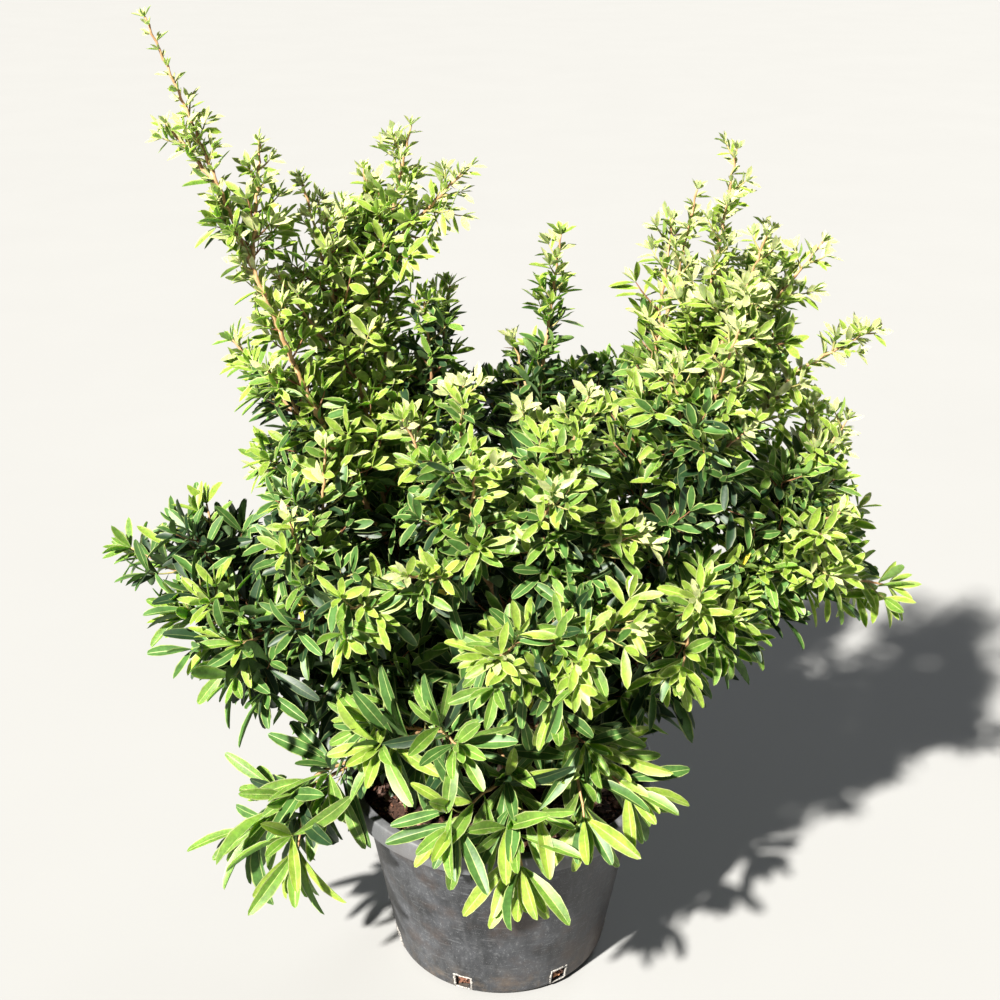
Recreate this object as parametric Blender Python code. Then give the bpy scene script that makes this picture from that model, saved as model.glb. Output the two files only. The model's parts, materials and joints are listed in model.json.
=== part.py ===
"""A potted firethorn: a many-stemmed evergreen shrub with narrow leaves, in a round black nursery pot.

Lengths are in metres and +Z is up. The origin is the middle of the pot's flat underside, +X is to the
right and -Y is the front. The plant grows by one rule. A short trunk forks into boughs, each bough forks
into the stems of its masses of foliage, and each stem carries side leaders, side shoots and leaves."""

import math
import random
from collections import namedtuple
from itertools import combinations, product

import bmesh
import bpy
import numpy as np

# Pot: radii, heights and wall of the moulded shell
RIM_RADIUS = 0.155
RIM_HEIGHT = 0.021
LIP_WIDTH = 0.010
POT_HEIGHT = 0.207
BASE_RADIUS = 0.110
SHOULDER_RADIUS = 0.139
BASE_ROUND = 0.010
WALL = 0.003
POT_SIDES = 32
NECK_DROP = 0.005
LIP_ROUND = 0.0015
HOLE_SIDE = 0.016
HOLE_DEPTH = 0.030
HOLE_COUNT = 7
HOLE_HEIGHT = 0.014
FIRST_HOLE = math.radians(-109.5)
NOTCH_WIDTH = 0.024
NOTCH_HEIGHT = 0.003

# Clear gap kept between neighbouring solids
GAP = 0.0003

# Soil: its level under the rim, and the height of its lumps
SOIL_DROP = 0.022
SOIL_LUMP = 0.003
SOIL_FLAT_RADIUS = 0.034
SOIL_EDGE_DROP = 0.002
SOIL_RINGS = (0.86, 0.66, 0.45)

# Trunk: a short leaning stem with a flared foot
TRUNK_FOOT = (-0.008, 0.004)
TRUNK_TOP = (-0.014, 0.000, 0.262)
TRUNK_RADIUS = 0.0125
TRUNK_TOP_RADIUS = 0.0095
FLARE_RADIUS = 0.024
FLARE_HEIGHT = 0.020
TRUNK_SIDES = 10

# Forks: a fork's stub reaches this far from the middle of the fork
TRUNK_STUB = 0.034
BOUGH_STUB = 0.020
BOUGH_RADIUS = 0.0050
BOUGH_TIP_RADIUS = 0.0040
BOUGH_SIDES = 6
BOUGH_STEP = 0.050
LOWER_FORK = 0.046
STEEP_FLATNESS = 0.25
STUB_SWELL = 1.25
TRUNK_RIB = 0.78
TRUNK_FORK_ANGLE = math.radians(26)
BOUGH_FORK_ANGLE = math.radians(32)
SPREAD_ROUNDS = 60

# Stems, leaders and side shoots, all three-sided
STEM_RADIUS = 0.0028
LEADER_RADIUS = 0.0020
SHOOT_RADIUS = 0.0015
TWIG_TIP_RADIUS = 0.0011
STEM_STEP = 0.080
FINE_STEP = 0.002
GOLDEN_ANGLE = math.radians(137.5)
SHOOT_SPACING = 0.042
SHOOT_SPLIT = math.radians(52)
SHOOT_LIFT = 0.15
SHOOT_FULL = 1.15
SHOOT_TAPER = 0.75
SHOOT_SPREAD = (0.80, 1.15)
SHOOT_SIZES = (1.0, 0.75, 0.5)
SHOOT_TURNS = (0.0, 0.8, -0.8, 1.6, -1.6)
TWIGS_APART = 0.006
BARE_SHARE = 0.12

# Leaves: long on the low vigorous shoots and short on the upper ones
LOW_LEAF = 0.096
HIGH_LEAF = 0.066
LOW_LEAF_HEIGHT = 0.26
HIGH_LEAF_HEIGHT = 0.60
LEAF_WIDTH_SHARE = 0.48
LEAF_THICK = 0.0024
LEAF_WIDEST = 0.46
LEAF_SPLIT = math.radians(50)
TIP_LEAF_SUNK = 0.0015
TIP_LEAF_SHARE = 0.8
SHOOT_LEAF_SPACING = 0.022
LEADER_LEAF_SPACING = 0.032
SHOOT_LEAVES_FROM = 0.20
LEADER_LEAVES_FROM = 0.20
LEAVES_APART = 0.0042
LEAF_SPREAD = (0.85, 1.1)
LEAF_SIZES = (1.0, 0.8, 0.6)
LEAF_TURNS = (0.0, 0.7, -0.7, 1.5, -1.5)
TIP_LEAF_SIZES = (1.0, 0.8, 0.6, 0.4)
FACE_OUTWARD = 0.3
FACE_LOOSE = 0.4

# Room kept between the masses, and round limbs and pot
CELL_MARGIN = 0.004
LIMB_MARGIN = 0.0035
POT_MARGIN = 0.005
STEM_ROOM = 0.55
SHOOT_ROOM = 1.5

# How far apart the points lie that stand for a limb, a twig or a mass's lines when room is tested
LIMB_TEST_STEP = 0.003
TWIG_TEST_STEP = 0.004
MASS_TEST_STEP = 0.006
FAR_AWAY = 100.0

UP = np.array([0.0, 0.0, 1.0])

# Each bough: the place of its fork, and its bow (above 0 it leaves flat and ends steep)
BOUGHS = {
    "bough_left": ((-0.105, 0.005, 0.450), -0.20),
    "bough_left_inner": ((-0.085, 0.050, 0.480), -0.10),
    "bough_centre": ((0.024, 0.080, 0.440), 0.00),
    "bough_right": ((0.142, 0.012, 0.440), 0.00),
    "bough_right_low": ((0.166, 0.000, 0.356), 0.10),
    "bough_front": ((0.006, -0.060, 0.410), 0.10),
    "bough_left_low": ((-0.155, -0.008, 0.345), 0.10),
    "bough_back": ((0.000, 0.135, 0.360), 0.10),
}

# Each mass: what carries it, its furthest tip, its bow, its side leaders as shares along the stem with
# their tips, and the length of its side shoots
Mass = namedtuple("Mass", "parent tip bow sides shoots")
MASSES = {
    "tall_left_shoot": Mass(
        "bough_left", (-0.286, 0.000, 0.925), -0.04,
        ((0.70, (-0.282, 0.012, 0.838)), (0.56, (-0.200, 0.020, 0.824))), 0.031),
    "left_outer_top": Mass(
        "bough_left", (-0.172, 0.040, 0.786), 0.25,
        ((0.40, (-0.142, 0.090, 0.762)), (0.45, (-0.195, 0.000, 0.715)), (0.60, (-0.156, 0.060, 0.768))),
        0.050),
    "left_mid": Mass(
        "bough_left", (-0.254, 0.055, 0.642), -0.20,
        ((0.25, (-0.244, 0.050, 0.500)), (0.45, (-0.205, -0.035, 0.640))), 0.054),
    "left_inner_top": Mass(
        "bough_left_inner", (-0.123, 0.090, 0.790), 0.10,
        ((0.66, (-0.074, 0.050, 0.834)), (0.72, (-0.028, 0.020, 0.796))), 0.044),
    "left_inner_right": Mass(
        "bough_left_inner", (-0.045, 0.100, 0.684), 0.15, ((0.40, (-0.068, 0.030, 0.690)),), 0.050),
    "centre_spire": Mass(
        "bough_centre", (0.058, 0.100, 0.732), -0.10,
        ((0.30, (0.008, 0.115, 0.628)), (0.30, (0.092, 0.130, 0.575))), 0.034),
    "centre_back": Mass(
        "bough_centre", (0.045, 0.235, 0.540), 0.30,
        ((0.40, (-0.030, 0.190, 0.560)), (0.40, (0.130, 0.165, 0.585))), 0.075),
    "right_inner_top": Mass(
        "bough_right", (0.174, 0.050, 0.780), 0.10, ((0.45, (0.158, 0.090, 0.745)),), 0.038),
    "right_mid_top": Mass(
        "bough_right", (0.202, 0.030, 0.818), 0.30,
        ((0.45, (0.292, 0.050, 0.732)), (0.40, (0.246, 0.060, 0.740)), (0.35, (0.225, -0.020, 0.755))),
        0.048),
    "right_outer_top": Mass(
        "bough_right", (0.335, 0.000, 0.665), -0.65, ((0.55, (0.262, 0.050, 0.655)),), 0.044),
    "right_front_top": Mass(
        "bough_right", (0.196, -0.085, 0.695), 0.10,
        ((0.40, (0.142, -0.060, 0.660)), (0.35, (0.215, -0.075, 0.600))), 0.052),
    "right_mid": Mass(
        "bough_right_low", (0.318, 0.000, 0.586), 0.35,
        ((0.50, (0.312, -0.050, 0.512)), (0.45, (0.312, 0.070, 0.550)), (0.50, (0.290, 0.035, 0.592))),
        0.054),
    "right_low": Mass(
        "bough_right_low", (0.401, 0.020, 0.390), -0.60,
        ((0.45, (0.308, -0.060, 0.468)), (0.50, (0.360, 0.090, 0.440))), 0.050),
    "right_front": Mass(
        "bough_right_low", (0.213, -0.100, 0.424), -0.25,
        ((0.35, (0.165, -0.135, 0.465)), (0.30, (0.152, -0.150, 0.385))), 0.044),
    "front_top_left": Mass(
        "bough_front", (-0.085, -0.100, 0.625), 0.10,
        ((0.30, (-0.020, -0.130, 0.590)), (0.15, (-0.085, -0.160, 0.500)), (0.45, (-0.030, -0.055, 0.640))),
        0.048),
    "front_top_right": Mass(
        "bough_front", (0.078, -0.070, 0.635), 0.10,
        ((0.30, (0.045, -0.145, 0.575)), (0.15, (0.128, -0.115, 0.520)), (0.40, (0.020, -0.030, 0.605))),
        0.048),
    "front_mid": Mass(
        "bough_front", (0.075, -0.195, 0.430), 0.00,
        ((0.45, (0.125, -0.165, 0.455)), (0.30, (-0.010, -0.205, 0.440)), (0.28, (0.055, -0.175, 0.335))),
        0.054),
    "left_front": Mass(
        "bough_left_low", (-0.176, -0.130, 0.545), 0.25,
        ((0.40, (-0.105, -0.150, 0.470)), (0.40, (-0.150, -0.055, 0.585))), 0.054),
    "left_low_back": Mass(
        "bough_left_low", (-0.382, 0.050, 0.434), 0.10,
        ((0.50, (-0.292, 0.080, 0.478)), (0.45, (-0.310, 0.135, 0.400))), 0.054),
    "left_low_front": Mass(
        "bough_left_low", (-0.335, -0.010, 0.386), -0.05,
        ((0.40, (-0.280, -0.060, 0.430)), (0.35, (-0.240, -0.105, 0.395))), 0.060),
    "back_left": Mass(
        "bough_back", (-0.175, 0.250, 0.560), 0.25, ((0.45, (-0.085, 0.255, 0.545)),), 0.080),
    "back_right": Mass(
        "bough_back", (0.190, 0.245, 0.560), 0.25, ((0.45, (0.115, 0.275, 0.510)),), 0.080),
    "back_low": Mass(
        "bough_back", (0.010, 0.320, 0.400), -0.20,
        ((0.45, (-0.110, 0.300, 0.400)), (0.45, (0.130, 0.300, 0.390))), 0.080),
    "back_low_left": Mass(
        "trunk", (-0.255, 0.195, 0.300), -0.20, ((0.50, (-0.175, 0.235, 0.330)),), 0.070),
    "back_low_right": Mass(
        "trunk", (0.235, 0.185, 0.385), -0.10, ((0.50, (0.170, 0.225, 0.350)),), 0.060),
    "low_left_spray": Mass(
        "trunk", (-0.272, -0.095, 0.150), -0.60,
        ((0.70, (-0.195, -0.145, 0.145)), (0.45, (-0.222, -0.090, 0.205))), 0.036),
    "low_front_left": Mass(
        "trunk", (-0.130, -0.165, 0.322), -0.20,
        ((0.50, (-0.145, -0.130, 0.335)), (0.45, (-0.028, -0.195, 0.345))), 0.046),
    "low_front_spray": Mass(
        "trunk", (0.026, -0.222, 0.186), -0.80, ((0.50, (-0.062, -0.212, 0.236)),), 0.038),
    "low_right_spray": Mass(
        "trunk", (0.146, -0.132, 0.222), -0.75,
        ((0.50, (0.080, -0.185, 0.215)), (0.40, (0.104, -0.125, 0.280))), 0.036),
}

Limb = namedtuple("Limb", "node start line radius tip_radius")


def unit(vector):
    return vector / np.linalg.norm(vector)


def bowed_line(start, end, bow, heading, step):
    """A smooth line from start, along heading at first, to end. A bow above 0 makes its end steeper."""
    reach = np.linalg.norm(end - start)
    arrival = unit(unit(end - start) + UP * bow)
    near = start + heading * reach / 3
    far = end - arrival * reach / 3
    count = max(3, round(reach / step))
    share = np.linspace(0, 1, count + 1)[:, None]
    left = 1 - share
    return left**3 * start + 3 * left**2 * share * near + 3 * left * share**2 * far + share**3 * end


def points_along(line, spacing):
    """Points on a line of straight pieces, this far apart, and the line's direction at each."""
    pieces = np.diff(line, axis=0)
    lengths = np.linalg.norm(pieces, axis=1)
    travelled = np.concatenate([[0], np.cumsum(lengths)])
    places = np.linspace(0, travelled[-1], max(2, round(travelled[-1] / spacing) + 1))
    index = np.clip(np.searchsorted(travelled, places, side="right") - 1, 0, len(pieces) - 1)
    share = ((places - travelled[index]) / lengths[index])[:, None]
    return line[index] + pieces[index] * share, pieces[index] / lengths[index][:, None]


def point_at(line, share):
    """The point at this share of a line's length."""
    points, _ = points_along(line, FINE_STEP)
    return points[round(share * (len(points) - 1))]


def shortened(line, length):
    """The line without this much of its end."""
    points, _ = points_along(line, FINE_STEP)
    end = points[max(2, len(points) - 1 - round(length / FINE_STEP))]
    kept = [point for point in line[:-1] if np.linalg.norm(point - line[-1]) > length + 3 * FINE_STEP]
    return np.array(kept + [end])


def across(direction):
    """Two unit vectors square to a direction and to each other."""
    side = unit(np.cross(direction, UP + 0.01 * np.array([1.0, 0.3, 0.0])))
    return side, np.cross(direction, side)


def first_heading(node, target, bow):
    return unit(unit(target - node) - UP * bow)


def spread_apart(headings, least):
    """Turns the headings at one fork away from each other until each pair is this far apart."""
    ways = np.array(headings)
    for _ in range(SPREAD_ROUNDS):
        for a, b in combinations(range(len(ways)), 2):
            angle = math.acos(max(-1.0, min(1.0, float(ways[a] @ ways[b]))))
            push = unit(ways[a] - ways[b]) * max(0.0, least - angle) / 2
            ways[a] = unit(ways[a] + push)
            ways[b] = unit(ways[b] - push)
    return ways


def limbs_from_fork(wanted, stub, least, step, radius, tip_radius):
    """The limbs of one fork, from each one's name, node, target and bow. Their stubs come before them."""
    headings = spread_apart([first_heading(node, target, bow) for _, node, target, bow in wanted], least)
    limbs = {}
    for (name, node, target, bow), heading in zip(wanted, headings):
        start = node + heading * (stub + GAP)
        line = bowed_line(start, target, bow, heading, step)
        limbs[name] = Limb(node, start, line, radius, tip_radius)
    return limbs


def soil_top():
    return POT_HEIGHT - SOIL_DROP


def trunk_line():
    foot = np.array([*TRUNK_FOOT, soil_top() + GAP])
    top = np.array(TRUNK_TOP)
    heights = np.array([0.0, 0.12, 0.30, 0.60, 1.0])
    return foot + (top - foot) * heights[:, None]


def trunk_fork(target, bow):
    """Where a limb leaves the trunk: the flatter it leaves, the lower its fork."""
    top = np.array(TRUNK_TOP)
    heading = first_heading(top, target, bow)
    flatness = 1 - math.asin(heading[2]) / (math.pi / 2)
    axis = unit(trunk_line()[-1] - trunk_line()[0])
    return top - axis * LOWER_FORK * max(0.0, flatness - STEEP_FLATNESS)


def masses_on(parent):
    return {name: mass for name, mass in MASSES.items() if mass.parent == parent}


def plan_limbs():
    """Every bough, and every mass's stem, from the trunk's forks and then from each bough's."""
    wanted = [(name, trunk_fork(np.array(tip), bow), np.array(tip), bow)
              for name, (tip, bow) in BOUGHS.items()]
    wanted += [(name, trunk_fork(np.array(mass.tip), mass.bow), np.array(mass.tip), mass.bow)
               for name, mass in masses_on("trunk").items()]
    on_trunk = limbs_from_fork(
        wanted, TRUNK_STUB, TRUNK_FORK_ANGLE, BOUGH_STEP, BOUGH_RADIUS, BOUGH_TIP_RADIUS)
    boughs = {name: on_trunk[name] for name in BOUGHS}
    stems = {name: on_trunk[name]._replace(radius=STEM_RADIUS, tip_radius=TWIG_TIP_RADIUS)
             for name in masses_on("trunk")}
    for bough_name, bough in boughs.items():
        wanted = [(name, bough.line[-1], np.array(mass.tip), mass.bow)
                  for name, mass in masses_on(bough_name).items()]
        stems.update(limbs_from_fork(
            wanted, BOUGH_STUB, BOUGH_FORK_ANGLE, STEM_STEP, STEM_RADIUS, TWIG_TIP_RADIUS))
    return boughs, stems


def tip_leaf_length(height):
    return leaf_length(height) * TIP_LEAF_SHARE


def leader_lines(name, stem):
    """The lines of a mass: its stem, then its side leaders. Each stops short of its tip by the leaf there."""
    mass = MASSES[name]
    lines = [shortened(stem.line, tip_leaf_length(mass.tip[2]))]
    for share, tip in mass.sides:
        root = point_at(lines[0], share)
        heading = first_heading(root, np.array(tip), mass.bow)
        line = bowed_line(root, np.array(tip), mass.bow, heading, STEM_STEP)
        lines.append(shortened(line, tip_leaf_length(tip[2])))
    return lines


def leaf_length(height):
    share = (height - LOW_LEAF_HEIGHT) / (HIGH_LEAF_HEIGHT - LOW_LEAF_HEIGHT)
    return LOW_LEAF + (HIGH_LEAF - LOW_LEAF) * min(1.0, max(0.0, share))


def pot_radius(height):
    """The pot's outer radius at each height, with the rim's skirt counted to its lower edge."""
    wall = BASE_RADIUS + (SHOULDER_RADIUS - BASE_RADIUS) * height / (POT_HEIGHT - RIM_HEIGHT)
    return np.where(height > POT_HEIGHT - RIM_HEIGHT - POT_MARGIN, RIM_RADIUS, wall)


class Room:
    """The room for one mass: nearer its own lines than any other's, and clear of limbs, pot and soil."""

    def __init__(self, own, others, limbs, limb_radii, reach):
        self.own = own
        self.others = others
        self.limbs = limbs
        self.limb_room = limb_radii + LIMB_MARGIN
        self.reach = reach

    def holds(self, points):
        own = np.linalg.norm(points[:, None] - self.own[None], axis=2).min(1)
        others = np.linalg.norm(points[:, None] - self.others[None], axis=2).min(1)
        limbs = (np.linalg.norm(points[:, None] - self.limbs[None], axis=2) - self.limb_room).min(1)
        radius = np.hypot(points[:, 0], points[:, 1])
        height = points[:, 2]
        beside = radius > pot_radius(height) + POT_MARGIN
        above = height > POT_HEIGHT + POT_MARGIN
        inside = (radius < SHOULDER_RADIUS - POT_MARGIN) & (height > soil_top() + 2 * POT_MARGIN)
        clear = beside | above | inside
        near = (own < self.reach) & (others - own > CELL_MARGIN) & (limbs > 0)
        return bool((near & clear & (height > 2 * POT_MARGIN)).all())


def leaf_points(root, direction, normal, length, width):
    """A leaf's five corners: root, tip, two edges, and the ridge over its flat underside."""
    side = unit(np.cross(direction, normal))
    face = np.cross(side, direction)
    middle = root + direction * length * LEAF_WIDEST
    return np.array([
        root,
        root + direction * length,
        middle + side * width / 2,
        middle - side * width / 2,
        middle + face * LEAF_THICK,
    ])


def leaf_samples(corners):
    """Rows of points over a leaf past its root, for testing the room round it."""
    root, tip, left, right = corners[:4]
    shares = np.linspace(0.2, 1, 8)
    widths = np.where(shares < LEAF_WIDEST, shares / LEAF_WIDEST, (1 - shares) / (1 - LEAF_WIDEST))
    middle = root + (tip - root) * shares[:, None]
    rows = [middle + (left - right) / 2 * (widths * place)[:, None] for place in (-1, -0.5, 0, 0.5, 1)]
    return np.vstack(rows)


def way_off(along, split, turn):
    """The direction that leaves a line at this angle, turned this far round it."""
    side, other = across(along)
    outward = side * math.cos(turn) + other * math.sin(turn)
    return unit(along * math.cos(split) + outward * math.sin(split))


class Growth:
    """Grows one mass: the twigs and the leaves on its lines, kept inside its room and off each other."""

    def __init__(self, name, lines, room):
        self.seed = random.Random(name)
        self.mass = MASSES[name]
        self.lines = lines
        self.room = room
        self.twigs = []
        self.leaves = []
        self.taken = np.full((1, 3), FAR_AWAY)

    def free(self, points, apart):
        gaps = np.linalg.norm(points[:, None] - self.taken[None], axis=2)
        return gaps.min() > apart and self.room.holds(points)

    def take(self, points):
        self.taken = np.vstack([self.taken, points])

    def facing(self, direction):
        """The way a leaf's upper side looks: up and outward, a little at random."""
        outward = np.array([direction[0], direction[1], 0.0])
        loose = np.array([self.seed.uniform(-FACE_LOOSE, FACE_LOOSE) for _ in range(3)])
        return UP + FACE_OUTWARD * outward + loose

    def grow_twig(self, line, radius):
        self.twigs.append((line, radius, TWIG_TIP_RADIUS))
        self.take(points_along(line, TWIG_TEST_STEP)[0])

    def grow_shoot(self, root, along, turn, length):
        """One straight side shoot, shorter or turned where room is tight."""
        for shorter, extra in product(SHOOT_SIZES, SHOOT_TURNS):
            direction = unit(way_off(along, SHOOT_SPLIT, turn + extra) + UP * SHOOT_LIFT)
            line = np.array([root, root + direction * length * shorter])
            samples = points_along(line, TWIG_TEST_STEP)[0]
            if self.free(samples[2:], TWIGS_APART):
                self.grow_twig(line, SHOOT_RADIUS)
                return line
        return None

    def grow_tip_leaf(self, line):
        """The leaf in line with a twig's end, sunk in its flat end, and smaller where room is tight."""
        direction = unit(line[-1] - line[-2])
        full = tip_leaf_length(line[-1][2])
        for smaller in TIP_LEAF_SIZES:
            length = full * smaller + TIP_LEAF_SUNK
            root = line[-1] - direction * TIP_LEAF_SUNK
            corners = leaf_points(root, direction, self.facing(direction), length, length * LEAF_WIDTH_SHARE)
            samples = leaf_samples(corners)
            if self.free(samples, LEAVES_APART):
                self.leaves.append(corners)
                self.take(samples)
                return

    def grow_leaf(self, place, along, turn):
        """One leaf on a twig's side, smaller or turned where room is tight."""
        full = leaf_length(place[2]) * self.seed.uniform(*LEAF_SPREAD)
        for smaller, extra in product(LEAF_SIZES, LEAF_TURNS):
            direction = way_off(along, LEAF_SPLIT, turn + extra)
            length = full * smaller
            corners = leaf_points(place, direction, self.facing(direction), length, length * LEAF_WIDTH_SHARE)
            samples = leaf_samples(corners)
            if self.free(samples, LEAVES_APART):
                self.leaves.append(corners)
                self.take(samples)
                return

    def grow_shoots(self):
        """Side shoots up each leader, each a golden angle on from the last, shorter towards the tip."""
        shoots = []
        for number, line in enumerate(self.lines):
            turn = self.seed.uniform(0, math.tau)
            places, ways = points_along(line, SHOOT_SPACING)
            shares = np.linspace(0, 1, len(places))
            for place, way, share in zip(places[1:-1], ways[1:-1], shares[1:-1]):
                turn += GOLDEN_ANGLE
                if number == 0 and share < BARE_SHARE:
                    continue
                length = self.mass.shoots * (SHOOT_FULL - SHOOT_TAPER * share)
                shoot = self.grow_shoot(place, way, turn, length * self.seed.uniform(*SHOOT_SPREAD))
                if shoot is not None:
                    shoots.append(shoot)
        return shoots

    def grow_leaves(self, line, spacing, first_share):
        turn = self.seed.uniform(0, math.tau)
        places, ways = points_along(line, spacing)
        shares = np.linspace(0, 1, len(places))
        for place, way, share in zip(places[:-1], ways[:-1], shares[:-1]):
            turn += GOLDEN_ANGLE
            if share >= first_share:
                self.grow_leaf(place, way, turn)

    def grow(self):
        for index, line in enumerate(self.lines):
            self.grow_twig(line, STEM_RADIUS if index == 0 else LEADER_RADIUS)
        shoots = self.grow_shoots()
        for line in self.lines + shoots:
            self.grow_tip_leaf(line)
        for line in shoots:
            self.grow_leaves(line, SHOOT_LEAF_SPACING, SHOOT_LEAVES_FROM)
        for line in self.lines:
            self.grow_leaves(line, LEADER_LEAF_SPACING, LEADER_LEAVES_FROM)
        return self.twigs, self.leaves


def rooms(boughs, stems, lines_of):
    """The room of every mass."""
    samples = {name: np.vstack([points_along(line, MASS_TEST_STEP)[0] for line in lines])
               for name, lines in lines_of.items()}
    limbs = [points_along(trunk_line(), LIMB_TEST_STEP)[0]]
    radii = [np.full(len(limbs[0]), TRUNK_RADIUS)]
    forks = [(bough.node, bough.start, BOUGH_RADIUS) for bough in boughs.values()]
    forks += [(stem.node, stem.start, STEM_RADIUS * STUB_SWELL) for stem in stems.values()]
    for node, start, radius in forks:
        limbs.append(points_along(np.array([node, start]), LIMB_TEST_STEP)[0])
        radii.append(np.full(len(limbs[-1]), radius))
    for bough in boughs.values():
        limbs.append(points_along(bough.line, LIMB_TEST_STEP)[0])
        radii.append(np.full(len(limbs[-1]), BOUGH_RADIUS))
    limbs = np.vstack(limbs)
    radii = np.concatenate(radii)
    found = {}
    for name in stems:
        others = np.vstack([points for other, points in samples.items() if other != name])
        reach = STEM_ROOM * LOW_LEAF + MASSES[name].shoots * SHOOT_ROOM
        found[name] = Room(samples[name], others, limbs, radii, reach)
    return found


def tube(line, radius, tip_radius, sides, heading=None):
    """Corners and faces of a tapering limb with flat ends. The first is square to its heading, if given."""
    first = line[1] - line[0] if heading is None else heading
    directions = np.vstack([first, line[2:] - line[:-2], line[-1] - line[-2]])
    directions = directions / np.linalg.norm(directions, axis=1)[:, None]
    side, _ = across(directions[0])
    travelled = np.concatenate([[0], np.cumsum(np.linalg.norm(np.diff(line, axis=0), axis=1))])
    radii = radius + (tip_radius - radius) * travelled / travelled[-1]
    angles = np.arange(sides) * math.tau / sides
    corners = []
    for centre, direction, size in zip(line, directions, radii):
        side = unit(side - direction * np.dot(side, direction))
        other = np.cross(direction, side)
        ring = centre + size * (np.cos(angles)[:, None] * side + np.sin(angles)[:, None] * other)
        corners.append(ring)
    faces = []
    for ring in range(len(line) - 1):
        for index in range(sides):
            a = ring * sides + index
            b = ring * sides + (index + 1) % sides
            faces.append((a, b, b + sides, a + sides))
    last = (len(line) - 1) * sides
    faces.append(tuple(range(sides))[::-1])
    faces.append(tuple(range(last, last + sides)))
    return np.vstack(corners), faces


LEAF_FACES = [(0, 2, 4), (0, 4, 3), (0, 3, 2), (1, 4, 2), (1, 3, 4), (1, 2, 3)]


def plain_material(name, colour, roughness):
    material = bpy.data.materials.new(name)
    material.use_nodes = True
    shader = material.node_tree.nodes["Principled BSDF"]
    shader.inputs["Base Color"].default_value = (*colour, 1)
    shader.inputs["Roughness"].default_value = roughness
    shader.inputs["Metallic"].default_value = 0
    return material


def mesh_from(name, corners, faces):
    mesh = bpy.data.meshes.new(name)
    mesh.from_pydata([tuple(corner) for corner in corners], [], faces)
    shape = bmesh.new()
    shape.from_mesh(mesh)
    bmesh.ops.recalc_face_normals(shape, faces=shape.faces)
    shape.to_mesh(mesh)
    shape.free()
    return mesh


def place_object(name, mesh, collection=None):
    thing = bpy.data.objects.new(name, mesh)
    (collection or bpy.context.scene.collection).objects.link(thing)
    return thing


def bodies_of(shape):
    """The separate bodies of a mesh, as lists of vertices, smallest first."""
    left = set(shape.verts)
    bodies = []
    while left:
        start = left.pop()
        body = [start]
        front = [start]
        while front:
            for edge in front.pop().link_edges:
                for other in edge.verts:
                    if other in left:
                        left.remove(other)
                        body.append(other)
                        front.append(other)
        bodies.append(body)
    return sorted(bodies, key=len)


def tidy_body(mesh):
    """Drops loose scraps and fills sealed hollows, so that the largest body stays. Tells if it is closed."""
    shape = bmesh.new()
    shape.from_mesh(mesh)
    scraps = [vertex for body in bodies_of(shape)[:-1] for vertex in body]
    bmesh.ops.delete(shape, geom=scraps, context="VERTS")
    bmesh.ops.triangulate(shape, faces=shape.faces)
    closed = all(edge.is_manifold for edge in shape.edges) and all(v.is_manifold for v in shape.verts)
    shape.to_mesh(mesh)
    shape.free()
    return closed


def fuse(name, solids, material):
    """One body from many solids, given as corners and faces: the first, joined to all the others."""
    group = bpy.data.collections.new(name + "_pieces")
    bpy.context.scene.collection.children.link(group)
    body = place_object(name, mesh_from(name, *solids[0]))
    for index, (corners, faces) in enumerate(solids[1:]):
        piece_name = f"{name}_{index}"
        place_object(piece_name, mesh_from(piece_name, corners, faces), group)
    union = body.modifiers.new("union", "BOOLEAN")
    union.operation = "UNION"
    union.operand_type = "COLLECTION"
    union.collection = group
    for solver in ("EXACT", "MANIFOLD"):
        union.solver = solver
        bpy.context.view_layer.update()
        graph = bpy.context.evaluated_depsgraph_get()
        joined = bpy.data.meshes.new_from_object(body.evaluated_get(graph))
        if tidy_body(joined):
            break
    body.modifiers.clear()
    body.data = joined
    for piece in list(group.objects):
        bpy.data.objects.remove(piece)
    bpy.data.collections.remove(group)
    joined.materials.clear()
    joined.materials.append(material)
    return body


def turned(name, profile, sides):
    """A body turned round Z from an outline that starts and ends on the axis."""
    shape = bmesh.new()
    points = [shape.verts.new((radius, 0, height)) for radius, height in profile]
    edges = [shape.edges.new(pair) for pair in zip(points, points[1:])]
    bmesh.ops.spin(
        shape, geom=points + edges, cent=(0, 0, 0), axis=(0, 0, 1), angle=math.tau,
        steps=sides, use_merge=True, use_duplicate=False)
    bmesh.ops.remove_doubles(shape, verts=shape.verts, dist=0.00001)
    bmesh.ops.recalc_face_normals(shape, faces=shape.faces)
    mesh = bpy.data.meshes.new(name)
    shape.to_mesh(mesh)
    shape.free()
    return place_object(name, mesh)


def box_cutter(name, size, place, turn):
    shape = bmesh.new()
    bmesh.ops.create_cube(shape, size=1)
    for vertex in shape.verts:
        vertex.co = (vertex.co.x * size[0], vertex.co.y * size[1], vertex.co.z * size[2])
    mesh = bpy.data.meshes.new(name)
    shape.to_mesh(mesh)
    shape.free()
    cutter = place_object(name, mesh)
    cutter.location = place
    cutter.rotation_euler = (0, 0, turn)
    cutter.hide_render = True
    cutter.display_type = "WIRE"
    return cutter


def cut(body, cutter):
    modifier = body.modifiers.new(cutter.name, "BOOLEAN")
    modifier.operation = "DIFFERENCE"
    modifier.object = cutter


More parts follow.
